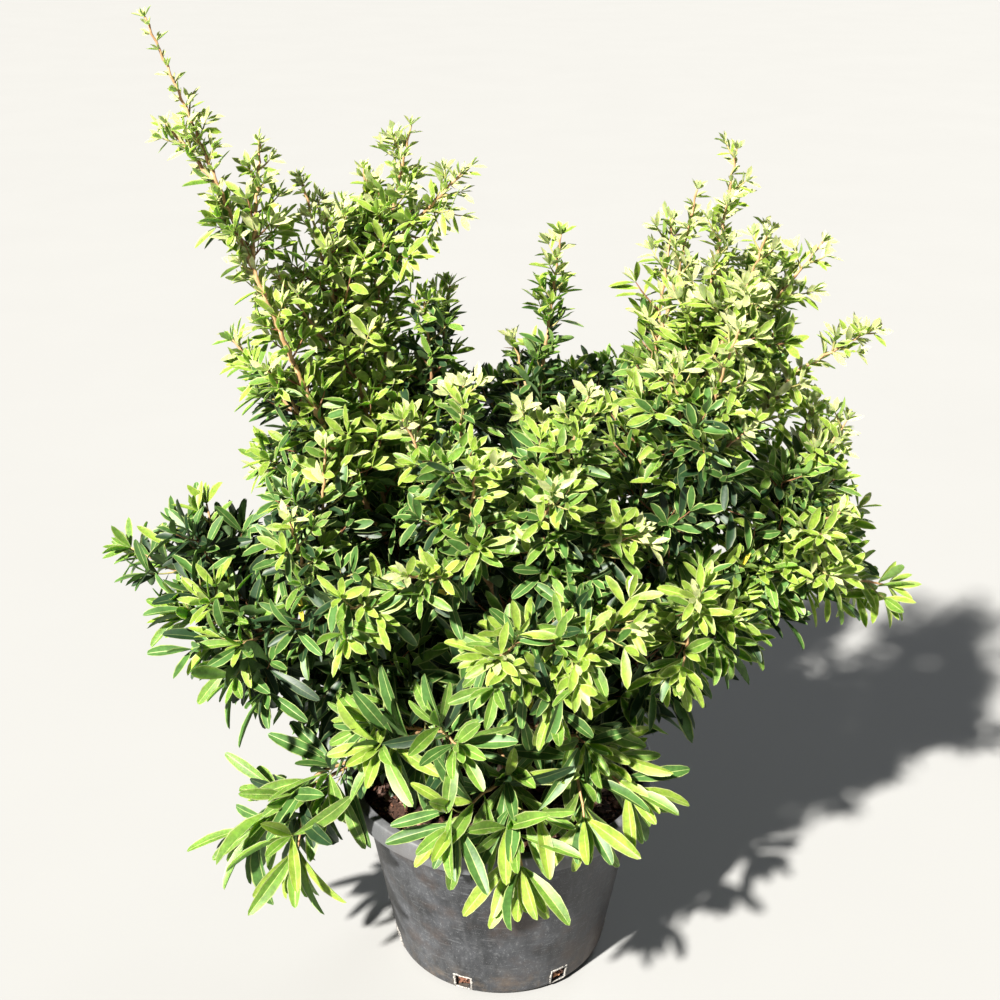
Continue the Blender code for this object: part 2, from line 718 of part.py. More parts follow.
def pot_profile():
    """The shell's outline: underside, wall, skirt of the rim, lip, inner wall and floor."""
    skirt = POT_HEIGHT - RIM_HEIGHT
    lip_inner = RIM_RADIUS - LIP_WIDTH
    neck = skirt - NECK_DROP
    profile = [(0, 0)]
    for step in range(4):
        angle = -math.pi / 2 + step * math.pi / 6
        profile.append((
            BASE_RADIUS - BASE_ROUND + BASE_ROUND * math.cos(angle),
            BASE_ROUND + BASE_ROUND * math.sin(angle)))
    profile += [
        (SHOULDER_RADIUS, neck),
        (lip_inner + WALL, skirt + 0.004),
        (lip_inner + WALL, POT_HEIGHT - WALL),
        (RIM_RADIUS - WALL, POT_HEIGHT - WALL),
        (RIM_RADIUS - WALL, skirt),
        (RIM_RADIUS, skirt),
        (RIM_RADIUS, POT_HEIGHT - LIP_ROUND),
        (RIM_RADIUS - LIP_ROUND, POT_HEIGHT),
        (lip_inner + LIP_ROUND, POT_HEIGHT),
        (lip_inner, POT_HEIGHT - LIP_ROUND),
        (lip_inner, skirt + 0.003),
        (SHOULDER_RADIUS - WALL, neck - 0.001),
        (inner_radius(BASE_ROUND), BASE_ROUND),
        (BASE_RADIUS - BASE_ROUND, WALL),
        (0, WALL),
    ]
    return profile


def inner_radius(height):
    """The radius of the pot's inner wall below its shoulder."""
    share = (height - BASE_ROUND) / (POT_HEIGHT - RIM_HEIGHT - 0.006 - BASE_ROUND)
    return BASE_RADIUS - WALL + (SHOULDER_RADIUS - BASE_RADIUS) * share


def make_pot(material):
    pot = turned("pot", pot_profile(), POT_SIDES)
    for index in range(HOLE_COUNT):
        angle = FIRST_HOLE + index * math.tau / HOLE_COUNT
        ahead = np.array([math.cos(angle), math.sin(angle), 0])
        hole = ahead * (BASE_RADIUS - WALL / 2) + UP * HOLE_HEIGHT
        cut(pot, box_cutter(f"hole_{index}", (HOLE_DEPTH, HOLE_SIDE, HOLE_SIDE), hole, angle))
        angle += math.pi / HOLE_COUNT
        ahead = np.array([math.cos(angle), math.sin(angle), 0])
        notch = ahead * BASE_RADIUS
        size = (BASE_ROUND * 2, NOTCH_WIDTH, NOTCH_HEIGHT * 2)
        cut(pot, box_cutter(f"notch_{index}", size, notch, angle))
    pot.data.materials.append(material)
    pot.data.shade_smooth()
    pot.data.set_sharp_from_angle(angle=math.radians(30))
    return pot


def make_soil(material):
    """Potting mix: it fills the pot to below the rim, with a lumpy top that is flat under the trunk."""
    top = soil_top()
    low = WALL + GAP
    edge_top = top - SOIL_EDGE_DROP
    edge = inner_radius(edge_top) - GAP
    profile = [
        (0, low),
        (BASE_RADIUS - BASE_ROUND - GAP, low),
        (inner_radius(BASE_ROUND) - GAP, BASE_ROUND + GAP),
        (edge, edge_top),
        *[(edge * share, top) for share in SOIL_RINGS],
        (SOIL_FLAT_RADIUS, top),
        (0, top),
    ]
    soil = turned("soil", profile, POT_SIDES)
    lumps = random.Random("soil")
    for vertex in soil.data.vertices:
        radius = math.hypot(vertex.co.x, vertex.co.y)
        if vertex.co.z > edge_top - 0.001 and SOIL_FLAT_RADIUS + 0.002 < radius < edge * 0.95:
            vertex.co.z += SOIL_LUMP * lumps.uniform(-1, 0.6)
    soil.data.materials.append(material)
    return soil


def flared_trunk():
    """The trunk's own body: a taper whose foot spreads in low ribs."""
    line = trunk_line()
    corners, faces = tube(line, TRUNK_RADIUS, TRUNK_TOP_RADIUS, TRUNK_SIDES)
    for index, corner in enumerate(corners):
        ring, place = divmod(index, TRUNK_SIDES)
        centre = line[ring]
        rise = (centre[2] - line[0][2]) / FLARE_HEIGHT
        spread = max(0.0, 1 - rise) ** 2 * (FLARE_RADIUS / TRUNK_RADIUS - 1)
        rib = 1.0 if place % 2 == 0 else TRUNK_RIB
        corners[index] = centre + (corner - centre) * (1 + spread) * (1 if spread == 0 else rib)
        corners[index][2] = centre[2]
    return corners, faces


def stub(node, start, radius, sides):
    """The short collar at a fork that a limb grows on from. It ends square, a gap short of the limb."""
    way = unit(start - node)
    line = np.array([node, (node + start) / 2, start - way * GAP])
    return tube(line, radius * STUB_SWELL, radius, sides)


def make_trunk(boughs, stems, material):
    pieces = [flared_trunk()]
    for bough in boughs.values():
        pieces.append(stub(bough.node, bough.start, BOUGH_RADIUS, BOUGH_SIDES))
    for name in masses_on("trunk"):
        pieces.append(stub(stems[name].node, stems[name].start, STEM_RADIUS, BOUGH_SIDES))
    return fuse("trunk", pieces, material)


def make_bough(name, bough, stems, material):
    heading = unit(bough.start - bough.node)
    pieces = [tube(bough.line, bough.radius, bough.tip_radius, BOUGH_SIDES, heading)]
    for mass in masses_on(name):
        pieces.append(stub(stems[mass].node, stems[mass].start, STEM_RADIUS, BOUGH_SIDES))
    return fuse(name, pieces, material)


def make_mass(name, stem, lines, room, material):
    twigs, leaves = Growth(name, lines, room).grow()
    stem_line, radius, tip_radius = twigs[0]
    solids = [tube(stem_line, radius, tip_radius, 3, unit(stem.start - stem.node))]
    solids += [tube(line, radius, tip_radius, 3) for line, radius, tip_radius in twigs[1:]]
    solids += [(corners, LEAF_FACES) for corners in leaves]
    mass = fuse(name, solids, material)
    print(name, len(twigs), "twigs", len(leaves), "leaves", len(mass.data.polygons), "faces")


def main():
    for thing in list(bpy.data.objects):
        bpy.data.objects.remove(thing)
    make_pot(plain_material("black_plastic", (0.055, 0.056, 0.060), 0.55))
    make_soil(plain_material("bark_soil", (0.060, 0.032, 0.022), 0.95))
    bark = plain_material("bark", (0.170, 0.095, 0.055), 0.80)
    foliage = plain_material("foliage", (0.110, 0.240, 0.035), 0.45)
    boughs, stems = plan_limbs()
    lines_of = {name: leader_lines(name, stem) for name, stem in stems.items()}
    make_trunk(boughs, stems, bark)
    for name, bough in boughs.items():
        make_bough(name, bough, stems, bark)
    room_of = rooms(boughs, stems, lines_of)
    for name, lines in lines_of.items():
        make_mass(name, stems[name], lines, room_of[name], foliage)


if __name__ == "__main__":
    main()
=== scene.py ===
# %% [markdown]
# A potted firethorn, dressed
#
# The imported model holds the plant's true limbs and coarse leaves, and its pot and soil, at their real
# size in metres. This lesson gives them their looks. It keeps every place and reach that the solids have,
# and grows the fine twigs and thousands of small leaves along the same stems by the same rule.

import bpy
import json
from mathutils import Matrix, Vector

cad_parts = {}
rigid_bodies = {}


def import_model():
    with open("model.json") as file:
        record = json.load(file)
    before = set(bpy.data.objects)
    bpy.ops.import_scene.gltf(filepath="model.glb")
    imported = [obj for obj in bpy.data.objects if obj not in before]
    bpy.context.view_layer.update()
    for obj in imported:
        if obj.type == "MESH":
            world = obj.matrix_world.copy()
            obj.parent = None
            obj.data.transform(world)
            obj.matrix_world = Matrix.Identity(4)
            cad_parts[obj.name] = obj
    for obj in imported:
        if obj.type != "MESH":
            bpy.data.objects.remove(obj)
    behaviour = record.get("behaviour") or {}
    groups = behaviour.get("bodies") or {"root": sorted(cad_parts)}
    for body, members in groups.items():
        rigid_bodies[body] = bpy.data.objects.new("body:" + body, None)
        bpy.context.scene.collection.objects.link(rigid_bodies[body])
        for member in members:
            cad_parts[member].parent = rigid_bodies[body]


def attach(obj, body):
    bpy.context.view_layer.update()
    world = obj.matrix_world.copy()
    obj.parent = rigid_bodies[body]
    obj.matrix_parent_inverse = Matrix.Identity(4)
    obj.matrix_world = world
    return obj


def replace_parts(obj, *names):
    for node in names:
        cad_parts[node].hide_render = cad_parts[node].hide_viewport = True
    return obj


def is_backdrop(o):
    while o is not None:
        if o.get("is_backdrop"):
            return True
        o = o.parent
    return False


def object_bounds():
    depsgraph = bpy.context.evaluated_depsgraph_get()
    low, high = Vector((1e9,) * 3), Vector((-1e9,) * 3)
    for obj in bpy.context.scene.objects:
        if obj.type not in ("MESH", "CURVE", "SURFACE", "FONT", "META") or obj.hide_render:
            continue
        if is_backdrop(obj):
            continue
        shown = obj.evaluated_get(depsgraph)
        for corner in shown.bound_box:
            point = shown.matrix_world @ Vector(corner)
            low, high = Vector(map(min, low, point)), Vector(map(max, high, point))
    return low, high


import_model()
solid_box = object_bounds()
print("solids from", [round(c, 3) for c in solid_box[0]], "to", [round(c, 3) for c in solid_box[1]])

# %% Tools
import json
import math
import random
from collections import namedtuple
from itertools import combinations

import bmesh
import bpy
import numpy as np
from mathutils import Matrix, Vector, kdtree, noise

# %% [markdown]
# The camera stands a little over a metre in front of the plant and looks down on it, as a person does who
# photographs a pot on the ground. A 50 mm lens gives the rim its rather flat ellipse. Its height and its
# tilt were found from that ellipse and from the pot's foot, so no shift of the lens is needed.

# %% Camera
CAMERA_PLACE = (0.0, -1.167, 1.024)
CAMERA_TILT = math.radians(24.4)

camera_data = bpy.data.cameras.new("camera")
camera_data.lens = 50
camera_data.sensor_width = 36
camera = bpy.data.objects.new("camera", camera_data)
camera.location = CAMERA_PLACE
camera.rotation_euler = (math.pi / 2 - CAMERA_TILT, 0, 0)
bpy.context.scene.collection.objects.link(camera)
bpy.context.scene.camera = camera
print("camera at", CAMERA_PLACE, "tilted down", round(math.degrees(CAMERA_TILT), 1), "degrees")

# %% [markdown]
# The plant stands in strong high light from the front and the left: the leaves that face it shine, and the
# inside of the crown stays dark. A sun lamp with a soft edge does that, and lights the floor evenly to its
# far end. A weak one behind keeps the back readable when the plant is turned, and the pale surround fills.


# %% Floor and lights
def sun_lamp(name, way, strength, softness, warmth):
    """A lamp infinitely far off, that shines from where the vector points."""
    data = bpy.data.lights.new(name, "SUN")
    data.energy = strength
    data.angle = math.radians(softness)
    data.color = warmth
    lamp = bpy.data.objects.new(name, data)
    lamp.rotation_euler = Vector(way).to_track_quat("Z", "Y").to_euler()
    bpy.context.scene.collection.objects.link(lamp)


sun_lamp("key_light", (-0.45, -0.58, 0.67), 13.0, 2.5, (1.0, 0.97, 0.91))
sun_lamp("back_light", (0.50, 0.80, 0.60), 0.9, 20.0, (0.95, 0.98, 1.0))

world = bpy.data.worlds.new("studio")
world.use_nodes = True
world.node_tree.nodes["Background"].inputs["Color"].default_value = (0.88, 0.94, 1.0, 1)
world.node_tree.nodes["Background"].inputs["Strength"].default_value = 0.13
bpy.context.scene.world = world
bpy.context.scene.view_settings.view_transform = "Standard"

FLOOR_SIZE = 60.0
floor_shape = bmesh.new()
bmesh.ops.create_grid(floor_shape, x_segments=1, y_segments=1, size=FLOOR_SIZE / 2)
floor_mesh = bpy.data.meshes.new("floor")
floor_shape.to_mesh(floor_mesh)
floor_shape.free()
floor = bpy.data.objects.new("floor", floor_mesh)
bpy.context.scene.collection.objects.link(floor)
floor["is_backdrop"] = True
print("a floor and two lamps")

# %% [markdown]
# Every finish is built from shader nodes. Two small classes keep that readable. A Wire is one output of a
# node, and arithmetic on it adds Math nodes, so a mask is written as a sum. A Paint is one material, and
# its add method is the only place where a node is made: settings are set first, then sockets are fed.


# %% Wires and paints
class Wire:
    """One output of a node. Arithmetic on it adds Math nodes."""

    def __init__(self, paint, socket):
        self.paint = paint
        self.socket = socket

    def maths(self, operation, *values):
        return self.paint.add("ShaderNodeMath", {"operation": operation}, dict(enumerate(values)))

    def __add__(self, other):
        return self.maths("ADD", self, other)

    def __radd__(self, other):
        return self.maths("ADD", other, self)

    def __sub__(self, other):
        return self.maths("SUBTRACT", self, other)

    def __rsub__(self, other):
        return self.maths("SUBTRACT", other, self)

    def __mul__(self, other):
        return self.maths("MULTIPLY", self, other)

    def __rmul__(self, other):
        return self.maths("MULTIPLY", other, self)


class Paint:
    """A material on the Principled shader. Its constants are set on the shader's own sockets."""

    def __init__(self, name, **constants):
        self.material = bpy.data.materials.new(name)
        self.material.use_nodes = True
        self.tree = self.material.node_tree
        self.shader = self.tree.nodes["Principled BSDF"]
        for socket, value in constants.items():
            self.shader.inputs[socket.replace("_", " ")].default_value = value

    def feed(self, socket, value):
        if isinstance(value, Wire):
            self.tree.links.new(value.socket, socket)
        else:
            socket.default_value = value

    def add(self, kind, settings, sockets, output=0):
        node = self.tree.nodes.new(kind)
        for key, value in settings.items():
            setattr(node, key, value)
        for key, value in sockets.items():
            self.feed(node.inputs[key], value)
        return Wire(self, node.outputs[output])

    def place(self, scale=(1, 1, 1)):
        spot = self.add("ShaderNodeTexCoord", {}, {}, "Object")
        return self.add("ShaderNodeMapping", {}, {"Vector": spot, "Scale": scale})

    def grain(self, size, detail=3, scale=(1, 1, 1)):
        """Noise from 0 to 1 whose lumps are about this many metres across."""
        return self.add(
            "ShaderNodeTexNoise", {},
            {"Vector": self.place(scale), "Scale": 1 / size, "Detail": detail, "Roughness": 0.6})

    def ramp(self, value, low, high):
        """0 below low and 1 above high, smooth between."""
        return self.add(
            "ShaderNodeMapRange", {"interpolation_type": "SMOOTHSTEP"},
            {"Value": value, "From Min": low, "From Max": high})

    def blend(self, factor, first, second):
        colours = {0: factor, 6: wide(first), 7: wide(second)}
        return self.add("ShaderNodeMix", {"data_type": "RGBA"}, colours, 2)

    def height(self):
        return self.add("ShaderNodeSeparateXYZ", {}, {"Vector": self.place()}, "Z")

    def finish(self, colour, roughness, relief=None, depth=0.0005, strength=0.4):
        self.feed(self.shader.inputs["Base Color"], colour)
        self.feed(self.shader.inputs["Roughness"], roughness)
        if relief is not None:
            bump = self.add("ShaderNodeBump", {}, {"Height": relief, "Distance": depth, "Strength": strength})
            self.feed(self.shader.inputs["Normal"], bump)
        return self.material


def wide(colour):
    return colour if isinstance(colour, Wire) else (*colour, 1)


def shade(colour, amount):
    """The colour made lighter, above 1, or darker, below 1."""
    return tuple(min(1.0, part * amount) for part in colour)


def floor_paint():
    paint = Paint("pale_floor", Specular_IOR_Level=0.2)
    tone = paint.blend(paint.grain(0.4), (0.300, 0.300, 0.297), (0.314, 0.314, 0.311))
    return paint.finish(tone, 0.9)


floor.data.materials.append(floor_paint())
print("wires and paints ready")

# %% [markdown]
# Old leaves inside are deep green, fresh ones at the ends of shoots are yellow-green, and the smallest are
# creamy. The deep tones inside and at the back also stand in for painted shade within the crown, and the pale
# tones at the top for painted light. So the colours are plain ones, and each spray of leaves is dealt one of
# them. Each paint adds a slight mottle and a soft gloss, and thin fresh leaves let some light through. A
# leaf's midrib is paler than its blade, and its rims are paler, partly as a painted highlight on the thin
# edge. Its underside is dull and paler, partly as painted light shining through the leaf.

# %% Leaf paints
LEAF_TONES = {
    # Deep is partly the old leaves' own colour and partly painted shade inside the crown; cream is partly the
    # young leaves' colour and partly painted light on the sunlit tops.
    "deep": (0.012, 0.036, 0.011),
    "green": (0.052, 0.125, 0.023),
    "fresh": (0.112, 0.205, 0.028),
    "bright": (0.205, 0.300, 0.038),
    "cream": (0.380, 0.420, 0.180),
    "yellow": (0.760, 0.600, 0.060),
}
# Midribs are paler in themselves. The rims' paleness is partly a painted highlight on the thin edge.
MIDRIB_PALE_RIM_HIGHLIGHT = (0.62, 0.67, 0.25)
RIB_SHARE = 3.0
RIB_MOST = 0.40
# Undersides are mixed towards this pale colour: partly their own grey-green, partly painted light shining
# through the thin leaf.
UNDER_PALE_GLOW = (0.19, 0.30, 0.11)
UNDER_SHARE = 0.35
FRESH_THIN = 0.45


def leaf_paint(name, colour, roughness, thin):
    paint = Paint(
        name, Specular_IOR_Level=0.36, Coat_Weight=0.06, Coat_Roughness=0.38,
        Subsurface_Weight=thin, Subsurface_Radius=(0.6, 1.0, 0.2), Subsurface_Scale=0.0012)
    mottle = 0.6 * paint.grain(0.022, 2) + 0.4 * paint.grain(0.0035, 3)
    tone = paint.blend(paint.ramp(mottle, 0.32, 0.68), shade(colour, 0.66), shade(colour, 1.34))
    return paint.finish(tone, roughness, paint.grain(0.0028, 2), 0.0005, 0.30)


def rib_colour(colour):
    """The colour of a leaf's midrib and rims: paler than a light leaf, and hardly so on a deep green one. The
    rims' paleness is partly a painted highlight on the thin edge.
    """
    share = min(RIB_MOST, RIB_SHARE * colour[1])
    return tuple(part + (pale - part) * share for part, pale in zip(colour, MIDRIB_PALE_RIM_HIGHLIGHT))


# An underside is paler, partly its own colour and partly painted light shining through the leaf.
def under_colour(colour):
    return tuple(part * (1 - UNDER_SHARE) + glow_pale * UNDER_SHARE for part, glow_pale in zip(colour, UNDER_PALE_GLOW))


leaf_paints = []
for tone_name, tone_colour in LEAF_TONES.items():
    thin = 0.0 if tone_name in ("deep", "green") else FRESH_THIN
    leaf_paints.append(leaf_paint("leaf_" + tone_name, tone_colour, 0.48, thin))
    leaf_paints.append(leaf_paint("rib_" + tone_name, rib_colour(tone_colour), 0.50, thin))
    leaf_paints.append(leaf_paint("under_" + tone_name, under_colour(tone_colour), 0.65, thin))
print(len(leaf_paints), "leaf paints")

# %% [markdown]
# Bark is reddish brown on the twigs, pinkish tan on the young leading shoots and grey-brown on the trunk.
# Its colour is mottled in lumps a few millimetres long, with small pale breathing pores.


# %% Bark paints
def bark_paint(name, dark, light, pores):
    paint = Paint(name, Specular_IOR_Level=0.3)
    lumps = paint.grain(0.004, 4, (1, 1, 0.4))
    tone = paint.blend(paint.ramp(lumps, 0.3, 0.7), dark, light)
    spots = paint.ramp(paint.grain(0.0016, 1), 0.66, 0.74)
    tone = paint.blend(spots * 0.6, tone, pores)
    return paint.finish(tone, 0.62 + 0.25 * lumps, lumps, 0.0006, 0.6)


trunk_bark = bark_paint("trunk_bark", (0.042, 0.027, 0.020), (0.120, 0.080, 0.055), (0.26, 0.20, 0.15))
twig_bark = bark_paint("twig_bark", (0.130, 0.058, 0.028), (0.330, 0.165, 0.075), (0.52, 0.38, 0.22))
young_bark = bark_paint("young_bark", (0.340, 0.185, 0.085), (0.560, 0.345, 0.170), (0.72, 0.58, 0.36))
shoot_bark = bark_paint("shoot_bark", (0.230, 0.240, 0.070), (0.420, 0.330, 0.130), (0.60, 0.55, 0.30))
print("bark paints ready")

# %% [markdown]
# The plant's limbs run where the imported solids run, so the numbers of the plan are written again here: the
# trunk, each bough's fork, and each mass of foliage with its furthest tip and its side leaders. The trunk
# forks into boughs, each bough into the stems of its masses, and each stem carries its leaders.

# %% The plan of the plant
POT_HEIGHT = 0.207
RIM_RADIUS = 0.155
RIM_HEIGHT = 0.021
LIP_WIDTH = 0.010
BASE_RADIUS = 0.110
SHOULDER_RADIUS = 0.139
BASE_ROUND = 0.010
WALL = 0.003
SOIL_DROP = 0.022
GAP = 0.0003

TRUNK_FOOT = (-0.008, 0.004)
TRUNK_TOP = (-0.014, 0.000, 0.262)
TRUNK_RADIUS = 0.0125
TRUNK_TOP_RADIUS = 0.0095
FLARE_RADIUS = 0.024
FLARE_HEIGHT = 0.020
TRUNK_STUB = 0.034
BOUGH_STUB = 0.020
BOUGH_RADIUS = 0.0050
BOUGH_TIP_RADIUS = 0.0040
BOUGH_STEP = 0.050
LOWER_FORK = 0.046
TRUNK_FORK_ANGLE = math.radians(26)
BOUGH_FORK_ANGLE = math.radians(32)
SPREAD_ROUNDS = 60
STEM_RADIUS = 0.0028
LEADER_RADIUS = 0.0020
TWIG_TIP_RADIUS = 0.0011
STEM_STEP = 0.080
FINE_STEP = 0.002
GOLDEN_ANGLE = math.radians(137.5)
UP = np.array([0.0, 0.0, 1.0])

# Each bough: the place of its fork, and its bow (above 0 it leaves flat and ends steep)
BOUGHS = {
    "bough_left": ((-0.105, 0.005, 0.450), -0.20),
    "bough_left_inner": ((-0.085, 0.050, 0.480), -0.10),
    "bough_centre": ((0.024, 0.080, 0.440), 0.00),
    "bough_right": ((0.142, 0.012, 0.440), 0.00),
    "bough_right_low": ((0.166, 0.000, 0.356), 0.10),
    "bough_front": ((0.006, -0.060, 0.410), 0.10),
    "bough_left_low": ((-0.155, -0.008, 0.345), 0.10),
    "bough_back": ((0.000, 0.135, 0.360), 0.10),
}

# Each mass: what carries it, its furthest tip, its bow, its side leaders as shares along the stem with
# their tips, the length of its side shoots, and how fresh its green is, from 0 for deep to over 1 for pale.
# The freshness is partly painted light: low on the back masses as painted shade, high on the sunlit tops.
Mass = namedtuple("Mass", "parent tip bow sides shoots fresh")
MASSES = {
    "tall_left_shoot": Mass(
        "bough_left", (-0.286, 0.000, 0.925), -0.04,
        ((0.70, (-0.282, 0.012, 0.838)), (0.56, (-0.200, 0.020, 0.824))), 0.031, 1.45),
    "left_outer_top": Mass(
        "bough_left", (-0.172, 0.040, 0.786), 0.25,
        ((0.40, (-0.142, 0.090, 0.762)), (0.45, (-0.195, 0.000, 0.715)), (0.60, (-0.156, 0.060, 0.768))),
        0.050, 1.42),
    "left_mid": Mass(
        "bough_left", (-0.254, 0.055, 0.642), -0.20,
        ((0.25, (-0.244, 0.050, 0.500)), (0.45, (-0.205, -0.035, 0.640))), 0.054, 0.42),
    "left_inner_top": Mass(
        "bough_left_inner", (-0.123, 0.090, 0.790), 0.10,
        ((0.66, (-0.074, 0.050, 0.834)), (0.72, (-0.028, 0.020, 0.796))), 0.044, 1.22),
    "left_inner_right": Mass(
        "bough_left_inner", (-0.045, 0.100, 0.684), 0.15, ((0.40, (-0.068, 0.030, 0.690)),), 0.040, 0.32),
    "centre_spire": Mass(
        "bough_centre", (0.058, 0.100, 0.732), -0.10,
        ((0.30, (0.008, 0.115, 0.628)), (0.30, (0.092, 0.130, 0.575))), 0.034, 0.34),
    "centre_back": Mass(
        "bough_centre", (0.045, 0.235, 0.540), 0.30,
        ((0.40, (-0.030, 0.190, 0.560)), (0.40, (0.130, 0.165, 0.585))), 0.075, 0.05),
    "right_inner_top": Mass(
        "bough_right", (0.174, 0.050, 0.780), 0.10, ((0.45, (0.158, 0.090, 0.745)),), 0.038, 1.30),
    "right_mid_top": Mass(
        "bough_right", (0.202, 0.030, 0.818), 0.30,
        ((0.45, (0.292, 0.050, 0.732)), (0.40, (0.246, 0.060, 0.740)), (0.35, (0.225, -0.020, 0.755))),
        0.048, 1.25),
    "right_outer_top": Mass(
        "bough_right", (0.335, 0.000, 0.665), -0.65, ((0.55, (0.262, 0.050, 0.655)),), 0.032, 1.20),
    "right_front_top": Mass(
        "bough_right", (0.196, -0.085, 0.695), 0.10,
        ((0.40, (0.142, -0.060, 0.660)), (0.35, (0.215, -0.075, 0.600))), 0.052, 0.80),
    "right_mid": Mass(
        "bough_right_low", (0.318, 0.000, 0.586), 0.35,
        ((0.50, (0.312, -0.050, 0.512)), (0.45, (0.312, 0.070, 0.550)), (0.50, (0.290, 0.035, 0.592))),
        0.054, 0.86),
    "right_low": Mass(
        "bough_right_low", (0.401, 0.020, 0.390), -0.60,
        ((0.45, (0.308, -0.060, 0.468)), (0.50, (0.360, 0.090, 0.440))), 0.050, 0.98),
    "right_front": Mass(
        "bough_right_low", (0.213, -0.100, 0.424), -0.25,
        ((0.35, (0.165, -0.135, 0.465)), (0.30, (0.152, -0.150, 0.385))), 0.044, 1.00),
    "front_top_left": Mass(
        "bough_front", (-0.085, -0.100, 0.625), 0.10,
        ((0.30, (-0.020, -0.130, 0.590)), (0.15, (-0.085, -0.160, 0.500)), (0.45, (-0.030, -0.055, 0.640))),
        0.048, 0.58),
    "front_top_right": Mass(
        "bough_front", (0.078, -0.070, 0.635), 0.10,
        ((0.30, (0.045, -0.145, 0.575)), (0.15, (0.128, -0.115, 0.520)), (0.40, (0.020, -0.030, 0.605))),
        0.048, 0.52),
    "front_mid": Mass(
        "bough_front", (0.075, -0.195, 0.430), 0.00,
        ((0.45, (0.125, -0.165, 0.455)), (0.30, (-0.010, -0.205, 0.440)), (0.28, (0.055, -0.175, 0.335))),
        0.054, 0.86),
    "left_front": Mass(
        "bough_left_low", (-0.176, -0.130, 0.545), 0.25,
        ((0.40, (-0.105, -0.150, 0.470)), (0.40, (-0.150, -0.055, 0.585))), 0.054, 0.45),
    "left_low_back": Mass(
        "bough_left_low", (-0.382, 0.050, 0.434), 0.10,
        ((0.50, (-0.292, 0.080, 0.478)), (0.45, (-0.310, 0.135, 0.400))), 0.054, 0.05),
    "left_low_front": Mass(
        "bough_left_low", (-0.335, -0.010, 0.386), -0.05,
        ((0.40, (-0.280, -0.060, 0.430)), (0.35, (-0.240, -0.105, 0.395))), 0.060, 0.34),
    "back_left": Mass(
        "bough_back", (-0.175, 0.250, 0.560), 0.25, ((0.45, (-0.085, 0.255, 0.545)),), 0.080, 0.15),
    "back_right": Mass(
        "bough_back", (0.190, 0.245, 0.560), 0.25, ((0.45, (0.115, 0.275, 0.510)),), 0.080, 0.15),
    "back_low": Mass(
        "bough_back", (0.010, 0.320, 0.400), -0.20,
        ((0.45, (-0.110, 0.300, 0.400)), (0.45, (0.130, 0.300, 0.390))), 0.080, 0.20),
    "back_low_left": Mass(
        "trunk", (-0.255, 0.195, 0.300), -0.20, ((0.50, (-0.175, 0.235, 0.330)),), 0.070, 0.15),
    "back_low_right": Mass(
        "trunk", (0.235, 0.185, 0.385), -0.10, ((0.50, (0.170, 0.225, 0.350)),), 0.060, 0.15),
    "low_left_spray": Mass(
        "trunk", (-0.272, -0.095, 0.150), -0.60,
        ((0.70, (-0.195, -0.145, 0.145)), (0.45, (-0.222, -0.090, 0.205))), 0.036, 0.40),
    "low_front_left": Mass(
        "trunk", (-0.130, -0.165, 0.322), -0.20,
        ((0.50, (-0.145, -0.130, 0.335)), (0.45, (-0.028, -0.195, 0.345))), 0.046, 0.44),
    "low_front_spray": Mass(
        "trunk", (0.026, -0.222, 0.186), -0.80, ((0.50, (-0.062, -0.212, 0.236)),), 0.038, 0.90),
    "low_right_spray": Mass(
        "trunk", (0.146, -0.132, 0.222), -0.75,
        ((0.50, (0.080, -0.185, 0.215)), (0.40, (0.104, -0.125, 0.280))), 0.036, 0.95),
}
print(len(BOUGHS), "boughs carry", len(MASSES), "masses")

# %% [markdown]
# A limb leaves its fork along a heading and bends smoothly to its tip. Where several limbs share one fork,
# their headings are turned away from each other first, as real forks spread for light. A Bezier curve with
# two inner points does the bend, and the same few functions place every limb from the trunk to the tips.

# %% Lines of the limbs
Limb = namedtuple("Limb", "node start line")
TRUNK_SHARES = (0.0, 0.12, 0.30, 0.60, 1.0)
TOP_FORK_SHARE = 0.25


def unit(vector):
    return vector / np.linalg.norm(vector)


def bowed_line(start, end, bow, heading, step):
    """A smooth line from start, along heading at first, to end. A bow above 0 makes its end steeper."""
    reach = np.linalg.norm(end - start)
    arrival = unit(unit(end - start) + UP * bow)
    near = start + heading * reach / 3
    far = end - arrival * reach / 3
    count = max(3, round(reach / step))
    share = np.linspace(0, 1, count + 1)[:, None]
    left = 1 - share
    return left**3 * start + 3 * left**2 * share * near + 3 * left * share**2 * far + share**3 * end


def points_along(line, spacing):
    """Points on a line of straight pieces, this far apart, and the line's direction at each."""
    pieces = np.diff(line, axis=0)
    lengths = np.linalg.norm(pieces, axis=1)
    travelled = np.concatenate([[0], np.cumsum(lengths)])
    places = np.linspace(0, travelled[-1], max(2, round(travelled[-1] / spacing) + 1))
    index = np.clip(np.searchsorted(travelled, places, side="right") - 1, 0, len(pieces) - 1)
    share = ((places - travelled[index]) / lengths[index])[:, None]
    return line[index] + pieces[index] * share, pieces[index] / lengths[index][:, None]


def point_at(line, share):
    points, _ = points_along(line, FINE_STEP)
    return points[round(share * (len(points) - 1))]


def shortened(line, length):
    """The line without this much of its end."""
    points, _ = points_along(line, FINE_STEP)
    end = points[max(2, len(points) - 1 - round(length / FINE_STEP))]
    kept = [point for point in line[:-1] if np.linalg.norm(point - line[-1]) > length + 3 * FINE_STEP]
    return np.array(kept + [end])


def across(direction):
    """Two unit vectors square to a direction and to each other."""
    side = unit(np.cross(direction, UP + 0.01 * np.array([1.0, 0.3, 0.0])))
    return side, np.cross(direction, side)


def way_off(along, split, turn):
    """The direction that leaves a line at this angle, turned this far round it."""
    side, other = across(along)
    outward = side * math.cos(turn) + other * math.sin(turn)
    return unit(along * math.cos(split) + outward * math.sin(split))


def first_heading(node, target, bow):
    return unit(unit(target - node) - UP * bow)


